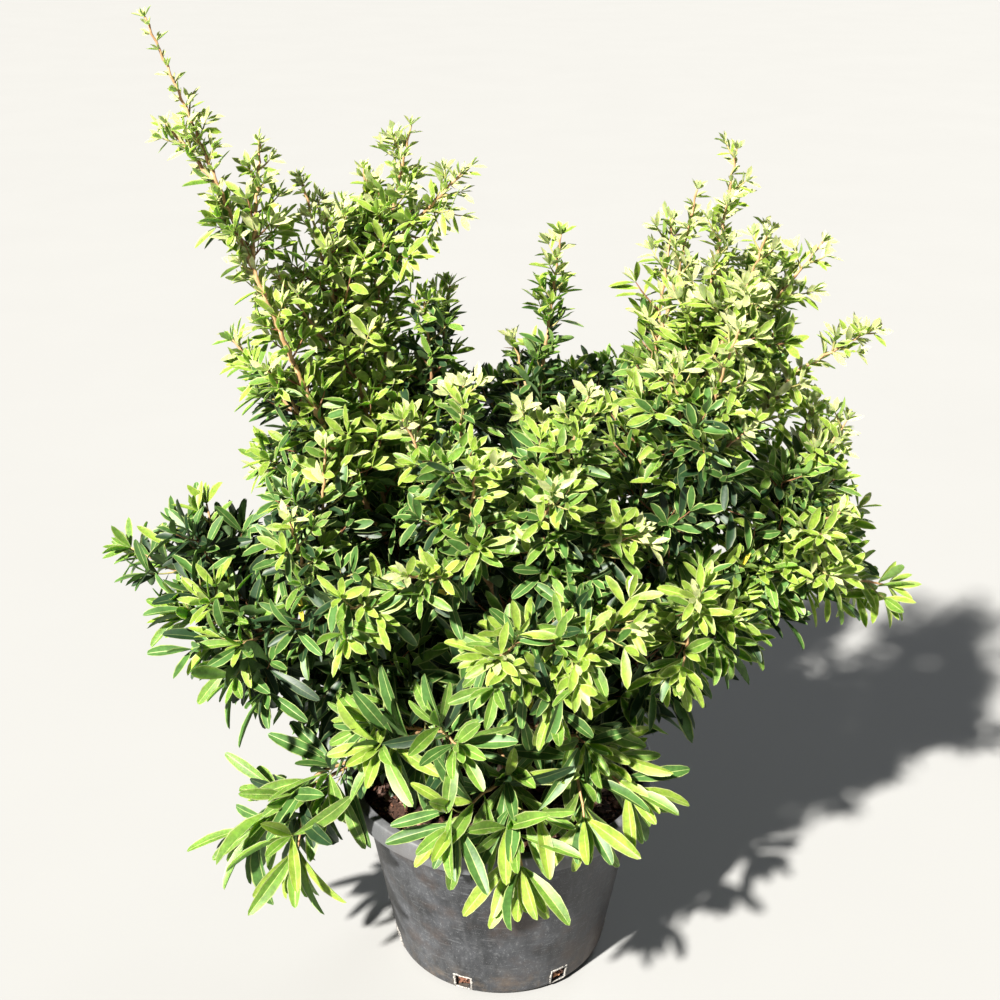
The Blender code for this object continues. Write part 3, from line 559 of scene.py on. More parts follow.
def spread_apart(headings, least):
    """Turns the headings at one fork away from each other until each pair is this far apart."""
    ways = np.array(headings)
    for _ in range(SPREAD_ROUNDS):
        for a, b in combinations(range(len(ways)), 2):
            angle = math.acos(max(-1.0, min(1.0, float(ways[a] @ ways[b]))))
            push = unit(ways[a] - ways[b]) * max(0.0, least - angle) / 2
            ways[a] = unit(ways[a] + push)
            ways[b] = unit(ways[b] - push)
    return ways


def limbs_from_fork(wanted, stub, least, step):
    headings = spread_apart([first_heading(node, target, bow) for _, node, target, bow in wanted], least)
    limbs = {}
    for (name, node, target, bow), heading in zip(wanted, headings):
        start = node + heading * (stub + GAP)
        limbs[name] = Limb(node, start, bowed_line(start, target, bow, heading, step))
    return limbs


def soil_top():
    return POT_HEIGHT - SOIL_DROP


def trunk_line():
    foot = np.array([*TRUNK_FOOT, soil_top() + GAP])
    return foot + (np.array(TRUNK_TOP) - foot) * np.array(TRUNK_SHARES)[:, None]


def trunk_fork(target, bow):
    """Where a limb leaves the trunk: the flatter it leaves, the lower its fork."""
    top = np.array(TRUNK_TOP)
    flatness = 1 - math.asin(first_heading(top, target, bow)[2]) / (math.pi / 2)
    axis = unit(trunk_line()[-1] - trunk_line()[0])
    return top - axis * LOWER_FORK * max(0.0, flatness - TOP_FORK_SHARE)


def masses_on(parent):
    return {name: mass for name, mass in MASSES.items() if mass.parent == parent}


def plan_limbs():
    """Every bough, and every mass's stem, from the trunk's forks and then from each bough's."""
    wanted = [(name, trunk_fork(np.array(tip), bow), np.array(tip), bow)
              for name, (tip, bow) in BOUGHS.items()]
    wanted += [(name, trunk_fork(np.array(mass.tip), mass.bow), np.array(mass.tip), mass.bow)
               for name, mass in masses_on("trunk").items()]
    on_trunk = limbs_from_fork(wanted, TRUNK_STUB, TRUNK_FORK_ANGLE, BOUGH_STEP)
    planned_boughs = {name: on_trunk[name] for name in BOUGHS}
    planned_stems = {name: on_trunk[name] for name in masses_on("trunk")}
    for bough_name, bough in planned_boughs.items():
        wanted = [(name, bough.line[-1], np.array(mass.tip), mass.bow)
                  for name, mass in masses_on(bough_name).items()]
        planned_stems.update(limbs_from_fork(wanted, BOUGH_STUB, BOUGH_FORK_ANGLE, STEM_STEP))
    return planned_boughs, planned_stems


boughs, stems = plan_limbs()
print("limbs planned:", len(boughs) + len(stems))

# %% [markdown]
# Leaves are longest, about eight centimetres, on the vigorous shoots low down, and only two or three
# centimetres on the upper twigs. On an upper leader they are largest low down and small at the end. A leader
# stops most of a leaf's length short of its tip, so that its last leaves reach where the solids do.

# %% Leaf sizes and leaders
LEAF_HEIGHTS = (0.20, 0.30, 0.37, 0.43, 0.50, 0.62, 0.74, 0.86)
LEAF_LENGTHS = (0.078, 0.068, 0.053, 0.040, 0.031, 0.027, 0.024, 0.021)
SHORT_LEAF = 0.024
WIDTH_LENGTHS = (0.014, 0.022, 0.034, 0.070)
WIDTH_SHARES = (0.39, 0.34, 0.275, 0.21)
RIGHT_REACH = 0.30
RIGHT_SHORTER = 0.25
UPPER_HEIGHT = 0.36
UPPER_RISE = 0.14
LOW_GAIN = 0.20
END_LOSS = 0.12
FRESH_LOSS = 0.20
END_LEAF_SHARE = 0.7


def leaf_length(place):
    """How long a leaf grows at a place: short high up, and rather shorter on the plant's right."""
    full = float(np.interp(place[2], LEAF_HEIGHTS, LEAF_LENGTHS))
    right = min(1.0, max(0.0, place[0] / RIGHT_REACH))
    return full * (1 - RIGHT_SHORTER * right * (full - SHORT_LEAF) / (LEAF_LENGTHS[0] - SHORT_LEAF))


def leaf_width_share(length):
    """Short leaves are broader for their length than long ones."""
    return float(np.interp(length, WIDTH_LENGTHS, WIDTH_SHARES))


def youth(share, height, fresh):
    """How large leaves grow at this share of a leader: high up, large low on it and small at its end."""
    upper = min(1.0, max(0.0, (height - UPPER_HEIGHT) / UPPER_RISE))
    return 1 + upper * (LOW_GAIN * (1 - share) - (END_LOSS + FRESH_LOSS * fresh) * share**2)


def end_leaf(tip, fresh):
    """How far the last leaves of a leader reach past its end."""
    return END_LEAF_SHARE * leaf_length(tip) * youth(1.0, tip[2], fresh)


def leader_lines(name, stem):
    """The lines of a mass: its stem, then its side leaders, each to just under its tip."""
    mass = MASSES[name]
    found = [shortened(stem.line, end_leaf(mass.tip, mass.fresh))]
    for share, tip in mass.sides:
        root = point_at(found[0], share)
        heading = first_heading(root, np.array(tip), mass.bow)
        line = bowed_line(root, np.array(tip), mass.bow, heading, STEM_STEP / 2)
        found.append(shortened(line, end_leaf(tip, mass.fresh)))
    return found


lines_of = {name: leader_lines(name, stem) for name, stem in stems.items()}
print(sum(len(found) for found in lines_of.values()), "leaders")

# %% [markdown]
# Each mass keeps to its own space, the points nearer its own leaders than any other's. A k-d tree of points
# along all leaders answers that in one query: the owner of the nearest point owns the space. A second tree
# keeps leaves out of the trunk and boughs, and plain radii keep them out of the pot and the soil.

# %% Space for each mass
LIMB_ROOM = 0.0025
POT_ROOM = 0.004
TREE_STEP = 0.004


def tree_of(points):
    tree = kdtree.KDTree(len(points))
    for index, point in enumerate(points):
        tree.insert(point, index)
    tree.balance()
    return tree


owners = []
leader_points = []
for name, found in lines_of.items():
    for line in found:
        spots, _ = points_along(line, TREE_STEP)
        leader_points.extend(spots)
        owners.extend([name] * len(spots))
leader_tree = tree_of(leader_points)
own_trees = {
    name: tree_of([spot for line in found for spot in points_along(line, TREE_STEP)[0]])
    for name, found in lines_of.items()}

limb_points = list(points_along(trunk_line(), TREE_STEP)[0])
limb_radii = [TRUNK_RADIUS] * len(limb_points)
for bough in boughs.values():
    spots, _ = points_along(np.vstack([bough.node[None], bough.line]), TREE_STEP)
    limb_points.extend(spots)
    limb_radii.extend([BOUGH_RADIUS] * len(spots))
limb_tree = tree_of(limb_points)


def clear_of_limbs(point):
    _, index, distance = limb_tree.find(point)
    return distance > limb_radii[index] + LIMB_ROOM


def clear_of_pot(point):
    radius = math.hypot(point[0], point[1])
    height = point[2]
    if height < 2 * POT_ROOM:
        return False
    if radius < SHOULDER_RADIUS - POT_ROOM:
        return height > soil_top() + 2 * POT_ROOM
    if height > POT_HEIGHT + POT_ROOM:
        return True
    slope = (SHOULDER_RADIUS - BASE_RADIUS) / (POT_HEIGHT - RIM_HEIGHT)
    wall = RIM_RADIUS if height > POT_HEIGHT - RIM_HEIGHT - POT_ROOM else BASE_RADIUS + slope * height
    return radius > wall + POT_ROOM


def has_room(name, point, spare=0.0):
    """Whether a point is clear of wood and pot, and a mass's own or only this much out of its space."""
    _, index, nearest = leader_tree.find(point)
    if name in own_trees and owners[index] != name:
        own_distance = own_trees[name].find(point)[2]
        if own_distance > nearest + spare:
            return False
    return clear_of_limbs(point) and clear_of_pot(point)


print(len(leader_points), "points share out the crown")

# %% [markdown]
# Now the growth itself. A leader is a line of nodes, 7 to 15 millimetres apart as its leaves grow longer, and
# each turned a golden angle on from the last. A node bears a tuft of leaves, and mostly a side shoot as well.
# The side shoot carries leaves and still shorter twigs, and every end has a rosette. All chance comes from
# one seed for each mass.

# %% Growth of twigs and leaves
Twig = namedtuple("Twig", "line radius tip_radius sides bark")
Leaf = namedtuple("Leaf", "root way face length width droop tone kind")
TONE_NAMES = list(LEAF_TONES)
TONE_STEPS = (0.24, 0.50, 0.78, 0.94)
TONE_SPREAD = 0.20
TONE_START = 0.45
END_TONE = 0.60
HIGH_TONE = 0.45
LARGE_LEAF = 0.036
KIND_STEPS = (0.021, LARGE_LEAF)
CREAM_LEAF = 0.0225
LARGE_TONES = (1, 1, 2, 2, 2, 3, 3, 3)
AIRY_HEIGHT = 0.62
AIRY_SHARE = 0.88
LONG_LEAF = 0.030
LEAF_WEIGHT = 9
LEAF_DROOP = 5
FACE_UP = 0.45
FACE_LIGHT = 0.60
FACE_OUT = 0.40
FACE_ALONG = 0.30
SHOOT_SPLIT = math.radians(54)
NODE_STEP = 0.0074
SHOOT_NODE_STEP = 0.0060
NODE_GROWTH = 0.60
SHOOT_CHANCE = 0.80
TWIG_CHANCE = 0.34
PAIR_CHANCE = 0.50
SHORTEST_SHOOT = 0.013
SPARE_ROOM = 0.012
LEAF_SPARE_ROOM = 0.040
LIGHT_WAY = unit(np.array([-0.35, -0.62, 0.70]))
KINK = 0.0008
YELLOW_CHANCE = 0.0012
INNER_STEP = 0.009
INNER_BARE = 0.12
INNER_SHOOTS = 0.075
# The shoots inside the crown are dealt deep and green tones, partly as painted shade.
INNER_SHADE_TONES = (0, 0, 1, 1)
BARE_FOOT = 0.06
TWIG_FROM = 0.030
THORN_CHANCE = 0.10
THORN_LENGTHS = (0.007, 0.013)
THORN_ANGLE = math.radians(70)
THORN_RADIUS = 0.0008
WIDTH_SPREAD = (0.88, 1.12)
DROOP_SPREAD = (0.02, 0.12)
LARGE_SPREAD = 0.8
SMALL_SPREAD = 0.5
FIRST_SPLITS = (58, 80)
OTHER_SPLITS = (28, 62)
FIRST_SIZES = (0.85, 1.1)
OTHER_SIZES = (0.45, 0.85)
SHOOT_LEAF_SPLITS = (42, 68)
SHOOT_LEAF_SIZES = (0.65, 1.05)
SHOOT_LENGTHS = (0.55, 1.15)
ROSETTE_SPLIT = 58
ROSETTE_CLOSING = 46
ROSETTE_SIZE = 0.95
ROSETTE_SHRINKING = 0.40
SHOOT_RISE = 0.20
SHOOT_BOW = 0.25
SHOOT_RADII = (0.0012, 0.0008)
SHOOT_TIP_RADIUS = 0.0005
YOUNG_BARK_FROM = 0.45
SHOOT_TRIES = ((1.0, 0.0), (1.0, 1.0), (1.0, -1.0), (0.7, 0.0), (0.7, 1.8), (0.7, -1.8), (0.45, 0.4))


class Growth:
    """Grows one mass: its twigs, leaves and thorns, kept to the mass's own space."""

    def __init__(self, name, lines, shoots, fresh):
        self.name = name
        self.lines = lines
        self.shoots = shoots
        self.fresh = fresh
        self.seed = random.Random(name)
        self.twigs = []
        self.leaves = []
        self.thorns = []

    def chance(self, low, high):
        return self.seed.uniform(low, high)

    def tone(self, share, height):
        """The tone of a spray: fresher towards a leader's end, and paler towards the top, partly as painted
        light.
        """
        loose = self.seed.gauss(0, TONE_SPREAD)
        fresh = self.fresh * (TONE_START + (1 - TONE_START) * share)
        # Higher sprays get paler tones, partly as younger growth and partly as painted light on the sunlit
        # top.
        fresh = fresh + END_TONE * share**3 + HIGH_TONE * (height - 0.5) + loose
        return sum(fresh > step for step in TONE_STEPS)

    def grow_leaf(self, root, way, length, tone):
        """One leaf, if its tip and middle have room. It faces the light, and a long one hangs a little."""
        weight = max(0.0, length - LONG_LEAF)
        way = unit(way - UP * weight * LEAF_WEIGHT)
        for share in (0.5, 1.0):
            if not has_room(self.name, root + way * length * share, LEAF_SPARE_ROOM):
                return
        spread = LARGE_SPREAD if length > LARGE_LEAF else SMALL_SPREAD
        loose = np.array([self.chance(-spread, spread) for _ in range(3)])
        away = unit(np.array([root[0], root[1], 0.02]))
        level = np.array([way[0], way[1], 0.0])
        wanted = UP * FACE_UP + LIGHT_WAY * FACE_LIGHT + away * FACE_OUT + FACE_ALONG * level + loose
        face = unit(wanted - way * (wanted @ way))
        width = length * leaf_width_share(length) * self.chance(*WIDTH_SPREAD)
        droop = self.chance(*DROOP_SPREAD) + weight * LEAF_DROOP
        if length > CREAM_LEAF:
            tone = min(tone, TONE_NAMES.index("bright"))
        if length > LARGE_LEAF:
            tone = min(tone, self.seed.choice(LARGE_TONES))
        if self.seed.random() < YELLOW_CHANCE:
            tone = TONE_NAMES.index("yellow")
        kind = sum(length > step for step in KIND_STEPS) if self.name in MASSES else 1
        self.leaves.append(Leaf(root, way, face, length, width, droop, tone, kind))

    def grow_tuft(self, root, along, turn, count, tone, size):
        """The leaves at one node: a long one, and shorter ones beside it."""
        full = leaf_length(root) * size
        for index in range(count):
            split = math.radians(self.chance(*(OTHER_SPLITS if index else FIRST_SPLITS)))
            spin = turn + (self.chance(-1.1, 1.1) if index else 0)
            part = self.chance(*(OTHER_SIZES if index else FIRST_SIZES))
            self.grow_leaf(root, way_off(along, split, spin), full * part, tone)

    def grow_rosette(self, root, along, count, tone, size):
        """The leaves round a shoot's end, the last ones small and nearly in line with it."""
        full = leaf_length(root) * size
        turn = self.chance(0, math.tau)
        for index in range(count):
            turn += GOLDEN_ANGLE
            share = index / max(1, count - 1)
            split = math.radians(ROSETTE_SPLIT - ROSETTE_CLOSING * share)
            size_here = full * (ROSETTE_SIZE - ROSETTE_SHRINKING * share)
            self.grow_leaf(root, way_off(along, split, turn), size_here, tone)

    def grow_thorn(self, root, along, turn):
        way = way_off(along, THORN_ANGLE, turn)
        length = self.chance(*THORN_LENGTHS)
        line = np.array([root, root + way * length * 0.6, root + way * length])
        self.thorns.append(Twig(line, THORN_RADIUS, THORN_RADIUS / 8, 4, 0))

    def shoot_line(self, root, along, turn, length):
        """The first line with room among a few tries, each shorter or turned further, or None."""
        for size, more in SHOOT_TRIES:
            way = way_off(along, SHOOT_SPLIT * self.chance(0.85, 1.15), turn + more)
            tip = root + unit(way + UP * SHOOT_RISE) * length * size
            line = bowed_line(root, tip, SHOOT_BOW, way, length / 4)
            if all(has_room(self.name, point, SPARE_ROOM) for point in line[1:]):
                return line
        return None

    def grow_shoot(self, root, along, turn, length, share, tone, order, size=1.0):
        """A side shoot that turns up to the light, with leaves at its nodes and a rosette at its end."""
        line = self.shoot_line(root, along, turn, length)
        if line is None:
            return
        bark = 3 if share > YOUNG_BARK_FROM else 1
        self.twigs.append(Twig(line, SHOOT_RADII[order - 1], SHOOT_TIP_RADIUS, 4, bark))
        full = leaf_length(root) * size
        spacing = SHOOT_NODE_STEP * (full / SHORT_LEAF) ** NODE_GROWTH
        places, ways = points_along(line, spacing)
        spin = self.chance(0, math.tau)
        for number, (place, direction) in enumerate(zip(places[1:-1], ways[1:-1])):
            spin += GOLDEN_ANGLE
            shade_tone = max(0, tone - (number < 0.4 * len(places)))
            pair = math.pi * self.chance(0.8, 1.2)
            for extra in (0.0, pair)[:1 + (self.seed.random() < PAIR_CHANCE)]:
                split = math.radians(self.chance(*SHOOT_LEAF_SPLITS))
                way = way_off(direction, split, spin + extra)
                self.grow_leaf(place, way, full * self.chance(*SHOOT_LEAF_SIZES), shade_tone)
            if order == 1 and length > TWIG_FROM and self.seed.random() < TWIG_CHANCE:
                part = length * self.chance(0.3, 0.5)
                self.grow_shoot(place, direction, spin + 1.6, part, share, tone, 2, size)
        rosette = self.seed.choice((4, 5, 5, 6) if order == 1 else (3, 4))
        self.grow_rosette(line[-1], ways[-1], rosette, tone + (tone < 3), size)

    def kinked(self, line):
        """The line at its nodes, each nudged a little aside, as a shoot kinks at its buds."""
        full = leaf_length(line[-1])
        places, ways = points_along(line, NODE_STEP * (full / SHORT_LEAF) ** NODE_GROWTH)
        turn = self.chance(0, math.tau)
        for index in range(1, len(places) - 1):
            turn += GOLDEN_ANGLE
            places[index] += way_off(ways[index], math.pi / 2, turn) * KINK
        return places, ways

    def grow_leader(self, number, line):
        places, ways = self.kinked(line)
        radius = STEM_RADIUS if number == 0 else LEADER_RADIUS
        self.twigs.append(Twig(places, radius, TWIG_TIP_RADIUS * 0.8, 6, 2))
        turn = self.chance(0, math.tau)
        last = len(places) - 1
        for index in range(1, last):
            turn += GOLDEN_ANGLE
            share = index / last
            place, along = places[index], ways[index]
            bare = number == 0 and share < BARE_FOOT
            length = self.shoots * (1.20 - 0.85 * share) * self.chance(*SHOOT_LENGTHS)
            tone = self.tone(share, place[2])
            size = youth(share, place[2], self.fresh)
            full = leaf_length(place)
            likely = (SHOOT_CHANCE - 0.2 * share) * (SHORT_LEAF / full) ** 0.4
            if place[2] > AIRY_HEIGHT:
                likely *= AIRY_SHARE
            if not bare and length > SHORTEST_SHOOT and self.seed.random() < likely:
                self.grow_shoot(place, along, turn, length, share, tone, 1, size)
            tuft = self.seed.choice((1, 1, 2, 2) if full > LARGE_LEAF else (2, 2, 3, 3)) + (share > 0.5)
            self.grow_tuft(place, along, turn + 2.0, tuft, tone, size)
            if self.seed.random() < THORN_CHANCE:
                self.grow_thorn(place, along, turn + 0.6)
        end = places[-1]
        rosette = 9 if leaf_length(end) > LARGE_LEAF else 7
        self.grow_rosette(end, ways[-1], rosette, self.tone(1.0, end[2]), youth(1.0, end[2], self.fresh))

    def grow(self):
        for number, line in enumerate(self.lines):
            self.grow_leader(number, line)
        return self

    def grow_inside(self):
        """The short shoots that a bough itself bears within the crown, dealt deep tones partly as painted
        shade.
        """
        places, ways = points_along(self.lines[0], INNER_STEP)
        turn = self.chance(0, math.tau)
        for place, along in list(zip(places, ways))[round(len(places) * INNER_BARE):-1]:
            turn += GOLDEN_ANGLE
            length = self.shoots * self.chance(0.6, 1.1)
            self.grow_shoot(place, along, turn, length, 0.0, self.seed.choice(INNER_SHADE_TONES), 1)
        return self


grown = {
    name: Growth(name, found, MASSES[name].shoots, MASSES[name].fresh).grow()
    for name, found in lines_of.items()}
inside = {
    name: Growth(name, [bough.line], INNER_SHOOTS, 0.0).grow_inside()
    for name, bough in boughs.items()}
every_growth = list(grown.values()) + list(inside.values())
print(sum(len(growth.leaves) for growth in every_growth), "leaves on",
      sum(len(growth.twigs) for growth in every_growth), "twigs")

# %% [markdown]
# A leaf is a small closed body: a top made of lengthwise strips, and an underside that shares the top's edge.
# Its outer strips are the pale rims, partly a painted highlight on the thin edge, and a large leaf has a
# narrow midrib strip as well. All leaves of one kind have the same faces, so thousands of them are worked out
# together from one template with array sums: along, across and up from each leaf's root.

# %% A leaf's template
Template = namedtuple("Template", "along across lift faces parts")
BLADE, RIB, UNDER = range(3)
TAPER_END = 0.6


def leaf_outline(along, peak, fullness, taper):
    """A leaf's width along it: the larger the taper, the narrower its base beside its round tip."""
    return np.sin(np.pi * along**peak) ** fullness * np.minimum(1.0, along / TAPER_END) ** taper


def leaf_template(rows, strips, parts, peak, fullness, taper):
    """Corners as shares along and across a leaf, and the faces of its top and underside."""
    rows = np.array(rows)
    widths = leaf_outline(rows, peak, fullness, taper)
    along = [0.0, 1.0]
    sideways = [0.0, 0.0]
    lift = [0.0, 0.0]
    columns = len(strips)
    for row, width in zip(rows, widths):
        along += [row] * (columns + 1)
        sideways += [place * width for place in strips] + [0.0]
        lift += [0.0] * columns + [-1.0]
    faces = []
    kinds = []
    last = len(rows) - 1

    def spot(row, column):
        return 2 + row * (columns + 1) + column

    for column in range(columns - 1):
        kind = parts[column]
        for row in range(last):
            a, b = spot(row, column), spot(row + 1, column)
            c, d = spot(row + 1, column + 1), spot(row, column + 1)
            faces += [(a, b, c), (a, c, d)]
            kinds += [kind, kind]
        faces += [(0, spot(0, column), spot(0, column + 1)), (1, spot(last, column + 1), spot(last, column))]
        kinds += [kind, kind]
    for edge, flip in ((0, False), (columns - 1, True)):
        under = []
        for row in range(last):
            a, b = spot(row, edge), spot(row + 1, edge)
            c, d = spot(row + 1, columns), spot(row, columns)
            under += [(a, c, b), (a, d, c)]
        under += [(0, spot(0, columns), spot(0, edge)), (1, spot(last, edge), spot(last, columns))]
        faces += [face[::-1] if flip else face for face in under]
        kinds += [UNDER] * len(under)
    return Template(np.array(along), np.array(sideways), np.array(lift), np.array(faces), np.array(kinds))


TEMPLATES = (
    leaf_template(
        (0.28, 0.70), (-0.5, -0.36, 0.0, 0.36, 0.5), (RIB, BLADE, BLADE, RIB), 1.02, 0.45, 0.25),
    leaf_template(
        (0.11, 0.36, 0.66, 0.90), (-0.5, -0.39, 0.0, 0.39, 0.5), (RIB, BLADE, BLADE, RIB), 1.04, 0.58, 0.30),
    leaf_template(
        (0.06, 0.22, 0.45, 0.68, 0.87, 0.97), (-0.5, -0.445, -0.03, 0.03, 0.445, 0.5),
        (RIB, BLADE, RIB, BLADE, RIB), 1.14, 0.42, 0.55))
print("faces on a leaf:", [len(template.faces) for template in TEMPLATES])

# %% [markdown]
# The template is laid on every leaf at once. Each leaf gets its own droop, a fold along the midrib, a slight
# sideways curve and a twist, so that no two catch the light alike.

# %% Leaves as joined meshes
LEAF_THICK = 0.00035
FOLD_LEAST = 0.15
FOLD_MOST = 0.55
LARGE_FOLD = 1.5
BEND_MOST = 0.07
TWIST_MOST = 0.35
CREASE_ANGLE = math.radians(75)


def leaves_mesh(leaves, template, seed):
    """Corners, faces and slots of many leaves of one template."""
    chance = np.random.default_rng(seed)
    count = len(leaves)
    root = np.array([leaf.root for leaf in leaves])[:, None]
    way = np.array([leaf.way for leaf in leaves])[:, None]
    face = np.array([leaf.face for leaf in leaves])[:, None]
    side = np.cross(face, way)
    length = np.array([leaf.length for leaf in leaves])[:, None, None]
    width = np.array([leaf.width for leaf in leaves])[:, None, None]
    droop = np.array([leaf.droop for leaf in leaves])[:, None, None]
    fold = chance.uniform(FOLD_LEAST, FOLD_MOST, (count, 1, 1))
    fold = fold * np.where(length > LARGE_LEAF, LARGE_FOLD, 1.0)
    bend = chance.uniform(-BEND_MOST, BEND_MOST, (count, 1, 1))
    twist = chance.uniform(-TWIST_MOST, TWIST_MOST, (count, 1, 1))
    along = template.along[None, :, None]
    sideways = template.across[None, :, None]
    lift = template.lift[None, :, None]
    turn = twist * along
    tilted_side = side * np.cos(turn) + face * np.sin(turn)
    corners = root + way * length * along - face * length * droop * along**2
    corners = corners + side * length * bend * along**2
    corners = corners + tilted_side * width * sideways + face * width * fold * np.abs(sideways)
    corners = corners + face * lift * LEAF_THICK
    offsets = (np.arange(count) * len(template.along))[:, None, None]
    faces = (template.faces[None] + offsets).reshape(-1, 3)
    tones = np.array([leaf.tone for leaf in leaves])[:, None]
    slots = (tones * 3 + template.parts[None]).reshape(-1)
    return corners.reshape(-1, 3), faces, slots


def joined(parts):
    """Several sets of corners, faces and slots as one."""
    corners, faces, slots, start = [], [], [], 0
    for part_corners, part_faces, part_slots in parts:
        corners.append(part_corners)
        faces.append(part_faces + start)
        slots.append(part_slots)
        start += len(part_corners)
    return np.vstack(corners), np.vstack(faces), np.concatenate(slots)


def piece_from(name, corners, faces, slots, paints, sharp_angle=None):
    mesh = bpy.data.meshes.new(name)
    mesh.from_pydata(corners.tolist(), [], faces.tolist())
    for paint in paints:
        mesh.materials.append(paint)
    mesh.polygons.foreach_set("material_index", slots.astype(np.int32))
    mesh.shade_smooth()
    if sharp_angle is not None:
        mesh.set_sharp_from_angle(angle=sharp_angle)
    piece = bpy.data.objects.new(name, mesh)
    bpy.context.scene.collection.objects.link(piece)
    return piece


REGIONS = {
    "left_top": ("tall_left_shoot", "left_outer_top", "left_mid", "left_inner_top", "left_inner_right"),
    "left_low": ("left_front", "left_low_back", "left_low_front", "back_low_left", "low_left_spray"),
    "centre": ("centre_spire", "centre_back", "front_top_left", "front_top_right"),
    "right_top": ("right_inner_top", "right_mid_top", "right_outer_top", "right_front_top"),
    "right_low": ("right_mid", "right_low", "right_front", "back_low_right", "low_right_spray"),
    "front_low": ("front_mid", "low_front_left", "low_front_spray"),
    "back": ("back_left", "back_right", "back_low"),
}


def leaves_piece(name, leaves, seed):
    """One piece that joins many leaves of all kinds."""
    parts = []
    for kind, template in enumerate(TEMPLATES):
        chosen = [leaf for leaf in leaves if leaf.kind == kind]
        if chosen:
            parts.append(leaves_mesh(chosen, template, seed + kind))
    made = piece_from(name, *joined(parts), leaf_paints, CREASE_ANGLE)
    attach(made, "root")
    print(name, len(leaves), "leaves", len(made.data.polygons), "faces")
    return made


for number, (region, names) in enumerate(REGIONS.items()):
    region_leaves = [leaf for name in names for leaf in grown[name].leaves]
    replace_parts(leaves_piece("leaves_" + region, region_leaves, number * 3), *names)
leaves_piece("leaves_inside", [leaf for growth in inside.values() for leaf in growth.leaves], 100)

# %% [markdown]
# Twigs are tapering tubes. A leader is a little thicker at each bud than between buds, so its rings swell at
# the nodes. Six sides are enough for a leader and four for a side shoot at this size. They are joined by
# region, as the leaves are, and the thorns, short sharp cones, are one piece.


# %% Twigs and thorns
BUD_SWELL = 1.16
BUD_WAIST = 0.92
COLLAR_SWELL = 1.3
COLLAR_TOP_SWELL = 1.1


def tube(line, radii, sides):
    """Corners and triangles of a tube with a ring at each point of the line, closed at both ends."""
    last = (len(line) - 1) * sides
    directions = np.vstack([line[1] - line[0], line[2:] - line[:-2], line[-1] - line[-2]])
    directions = directions / np.linalg.norm(directions, axis=1)[:, None]
    side, _ = across(directions[0])
    angles = np.arange(sides) * math.tau / sides
    corners = []
    for centre, direction, radius in zip(line, directions, radii):
        side = unit(side - direction * np.dot(side, direction))
        other = np.cross(direction, side)
        corners.append(centre + radius * (np.cos(angles)[:, None] * side + np.sin(angles)[:, None] * other))
    corners = np.vstack(corners + [line[:1], line[-1:]])
    base, tip = len(corners) - 2, len(corners) - 1
    faces = []
    for index in range(sides):
        after = (index + 1) % sides
        faces += [(base, after, index), (tip, last + index, last + after)]
        for ring in range(len(line) - 1):
            a, b = ring * sides + index, ring * sides + after
            faces += [(a, b, b + sides), (a, b + sides, a + sides)]
    return corners, np.array(faces)


def swelling_line(line):
    """The line with a point between each two nodes, and how thick each point is against the taper."""
    middles = (line[:-1] + line[1:]) / 2
    fine = np.empty((len(line) + len(middles), 3))
    fine[0::2] = line
    fine[1::2] = middles
    swell = np.ones(len(fine))
    swell[0::2] = BUD_SWELL
    swell[1::2] = BUD_WAIST
    return fine, swell


def twig_part(twig):
    line, swell = swelling_line(twig.line) if twig.sides > 4 else (twig.line, np.ones(len(twig.line)))
    radii = np.linspace(twig.radius, twig.tip_radius, len(line)) * swell
    corners, faces = tube(line, radii, twig.sides)
    slots = np.full(len(faces), twig.bark)
    return corners, faces, slots


twig_paints = [trunk_bark, twig_bark, young_bark, shoot_bark]
for region, names in REGIONS.items():
    twigs = [twig for name in names for twig in grown[name].twigs]
    for name in names:
        stem = stems[name]
        collar = np.array([stem.node, (stem.node + stem.start) / 2, stem.line[0]])
        twigs.append(Twig(collar, STEM_RADIUS * COLLAR_SWELL, STEM_RADIUS * COLLAR_TOP_SWELL, 6, 1))
    piece = piece_from("twigs_" + region, *joined([twig_part(twig) for twig in twigs]), twig_paints)
    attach(piece, "root")
    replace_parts(piece, *names)
    print(piece.name, len(twigs), "twigs", len(piece.data.polygons), "faces")

inner_twigs = [twig_part(twig) for growth in inside.values() for twig in growth.twigs]
inner_piece = piece_from("twigs_inside", *joined(inner_twigs), twig_paints)
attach(inner_piece, "root")

thorns = [twig_part(thorn) for growth in grown.values() for thorn in growth.thorns]
thorn_piece = piece_from("thorns", *joined(thorns), twig_paints)
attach(thorn_piece, "root")
print(len(thorns), "thorns")

# %% [markdown]
# The trunk and boughs are joined tubes, turned into one skin by a voxel remesh, which also fills the crotch
# of each fork as wood does. Bark relief is then pushed into the skin: low ridges that run along the trunk,
# and fine lumps everywhere.

# %% Trunk and boughs
LIMB_VOXEL = 0.0015
RIDGE_DEPTH = 0.0008
LUMP_DEPTH = 0.0003
LIMB_SIDES = 14
TRUNK_RING_STEP = 0.006
BOUGH_RING_STEP = 0.010
FLARE_FILL = 0.9
BOUGH_FOOT_SWELL = 1.15
STEM_FOOT_SWELLS = np.array([1.35, 1.1, 1.0])
RIDGES_ROUND = 260
RIDGES_ALONG = 55
LUMPS = 620


def settled_mesh(piece):
    """The piece's mesh as its modifiers leave it. The modifiers are then gone from the piece."""
    bpy.context.view_layer.update()
    graph = bpy.context.evaluated_depsgraph_get()
    piece.data = bpy.data.meshes.new_from_object(piece.evaluated_get(graph))
    piece.modifiers.clear()
    return piece.data


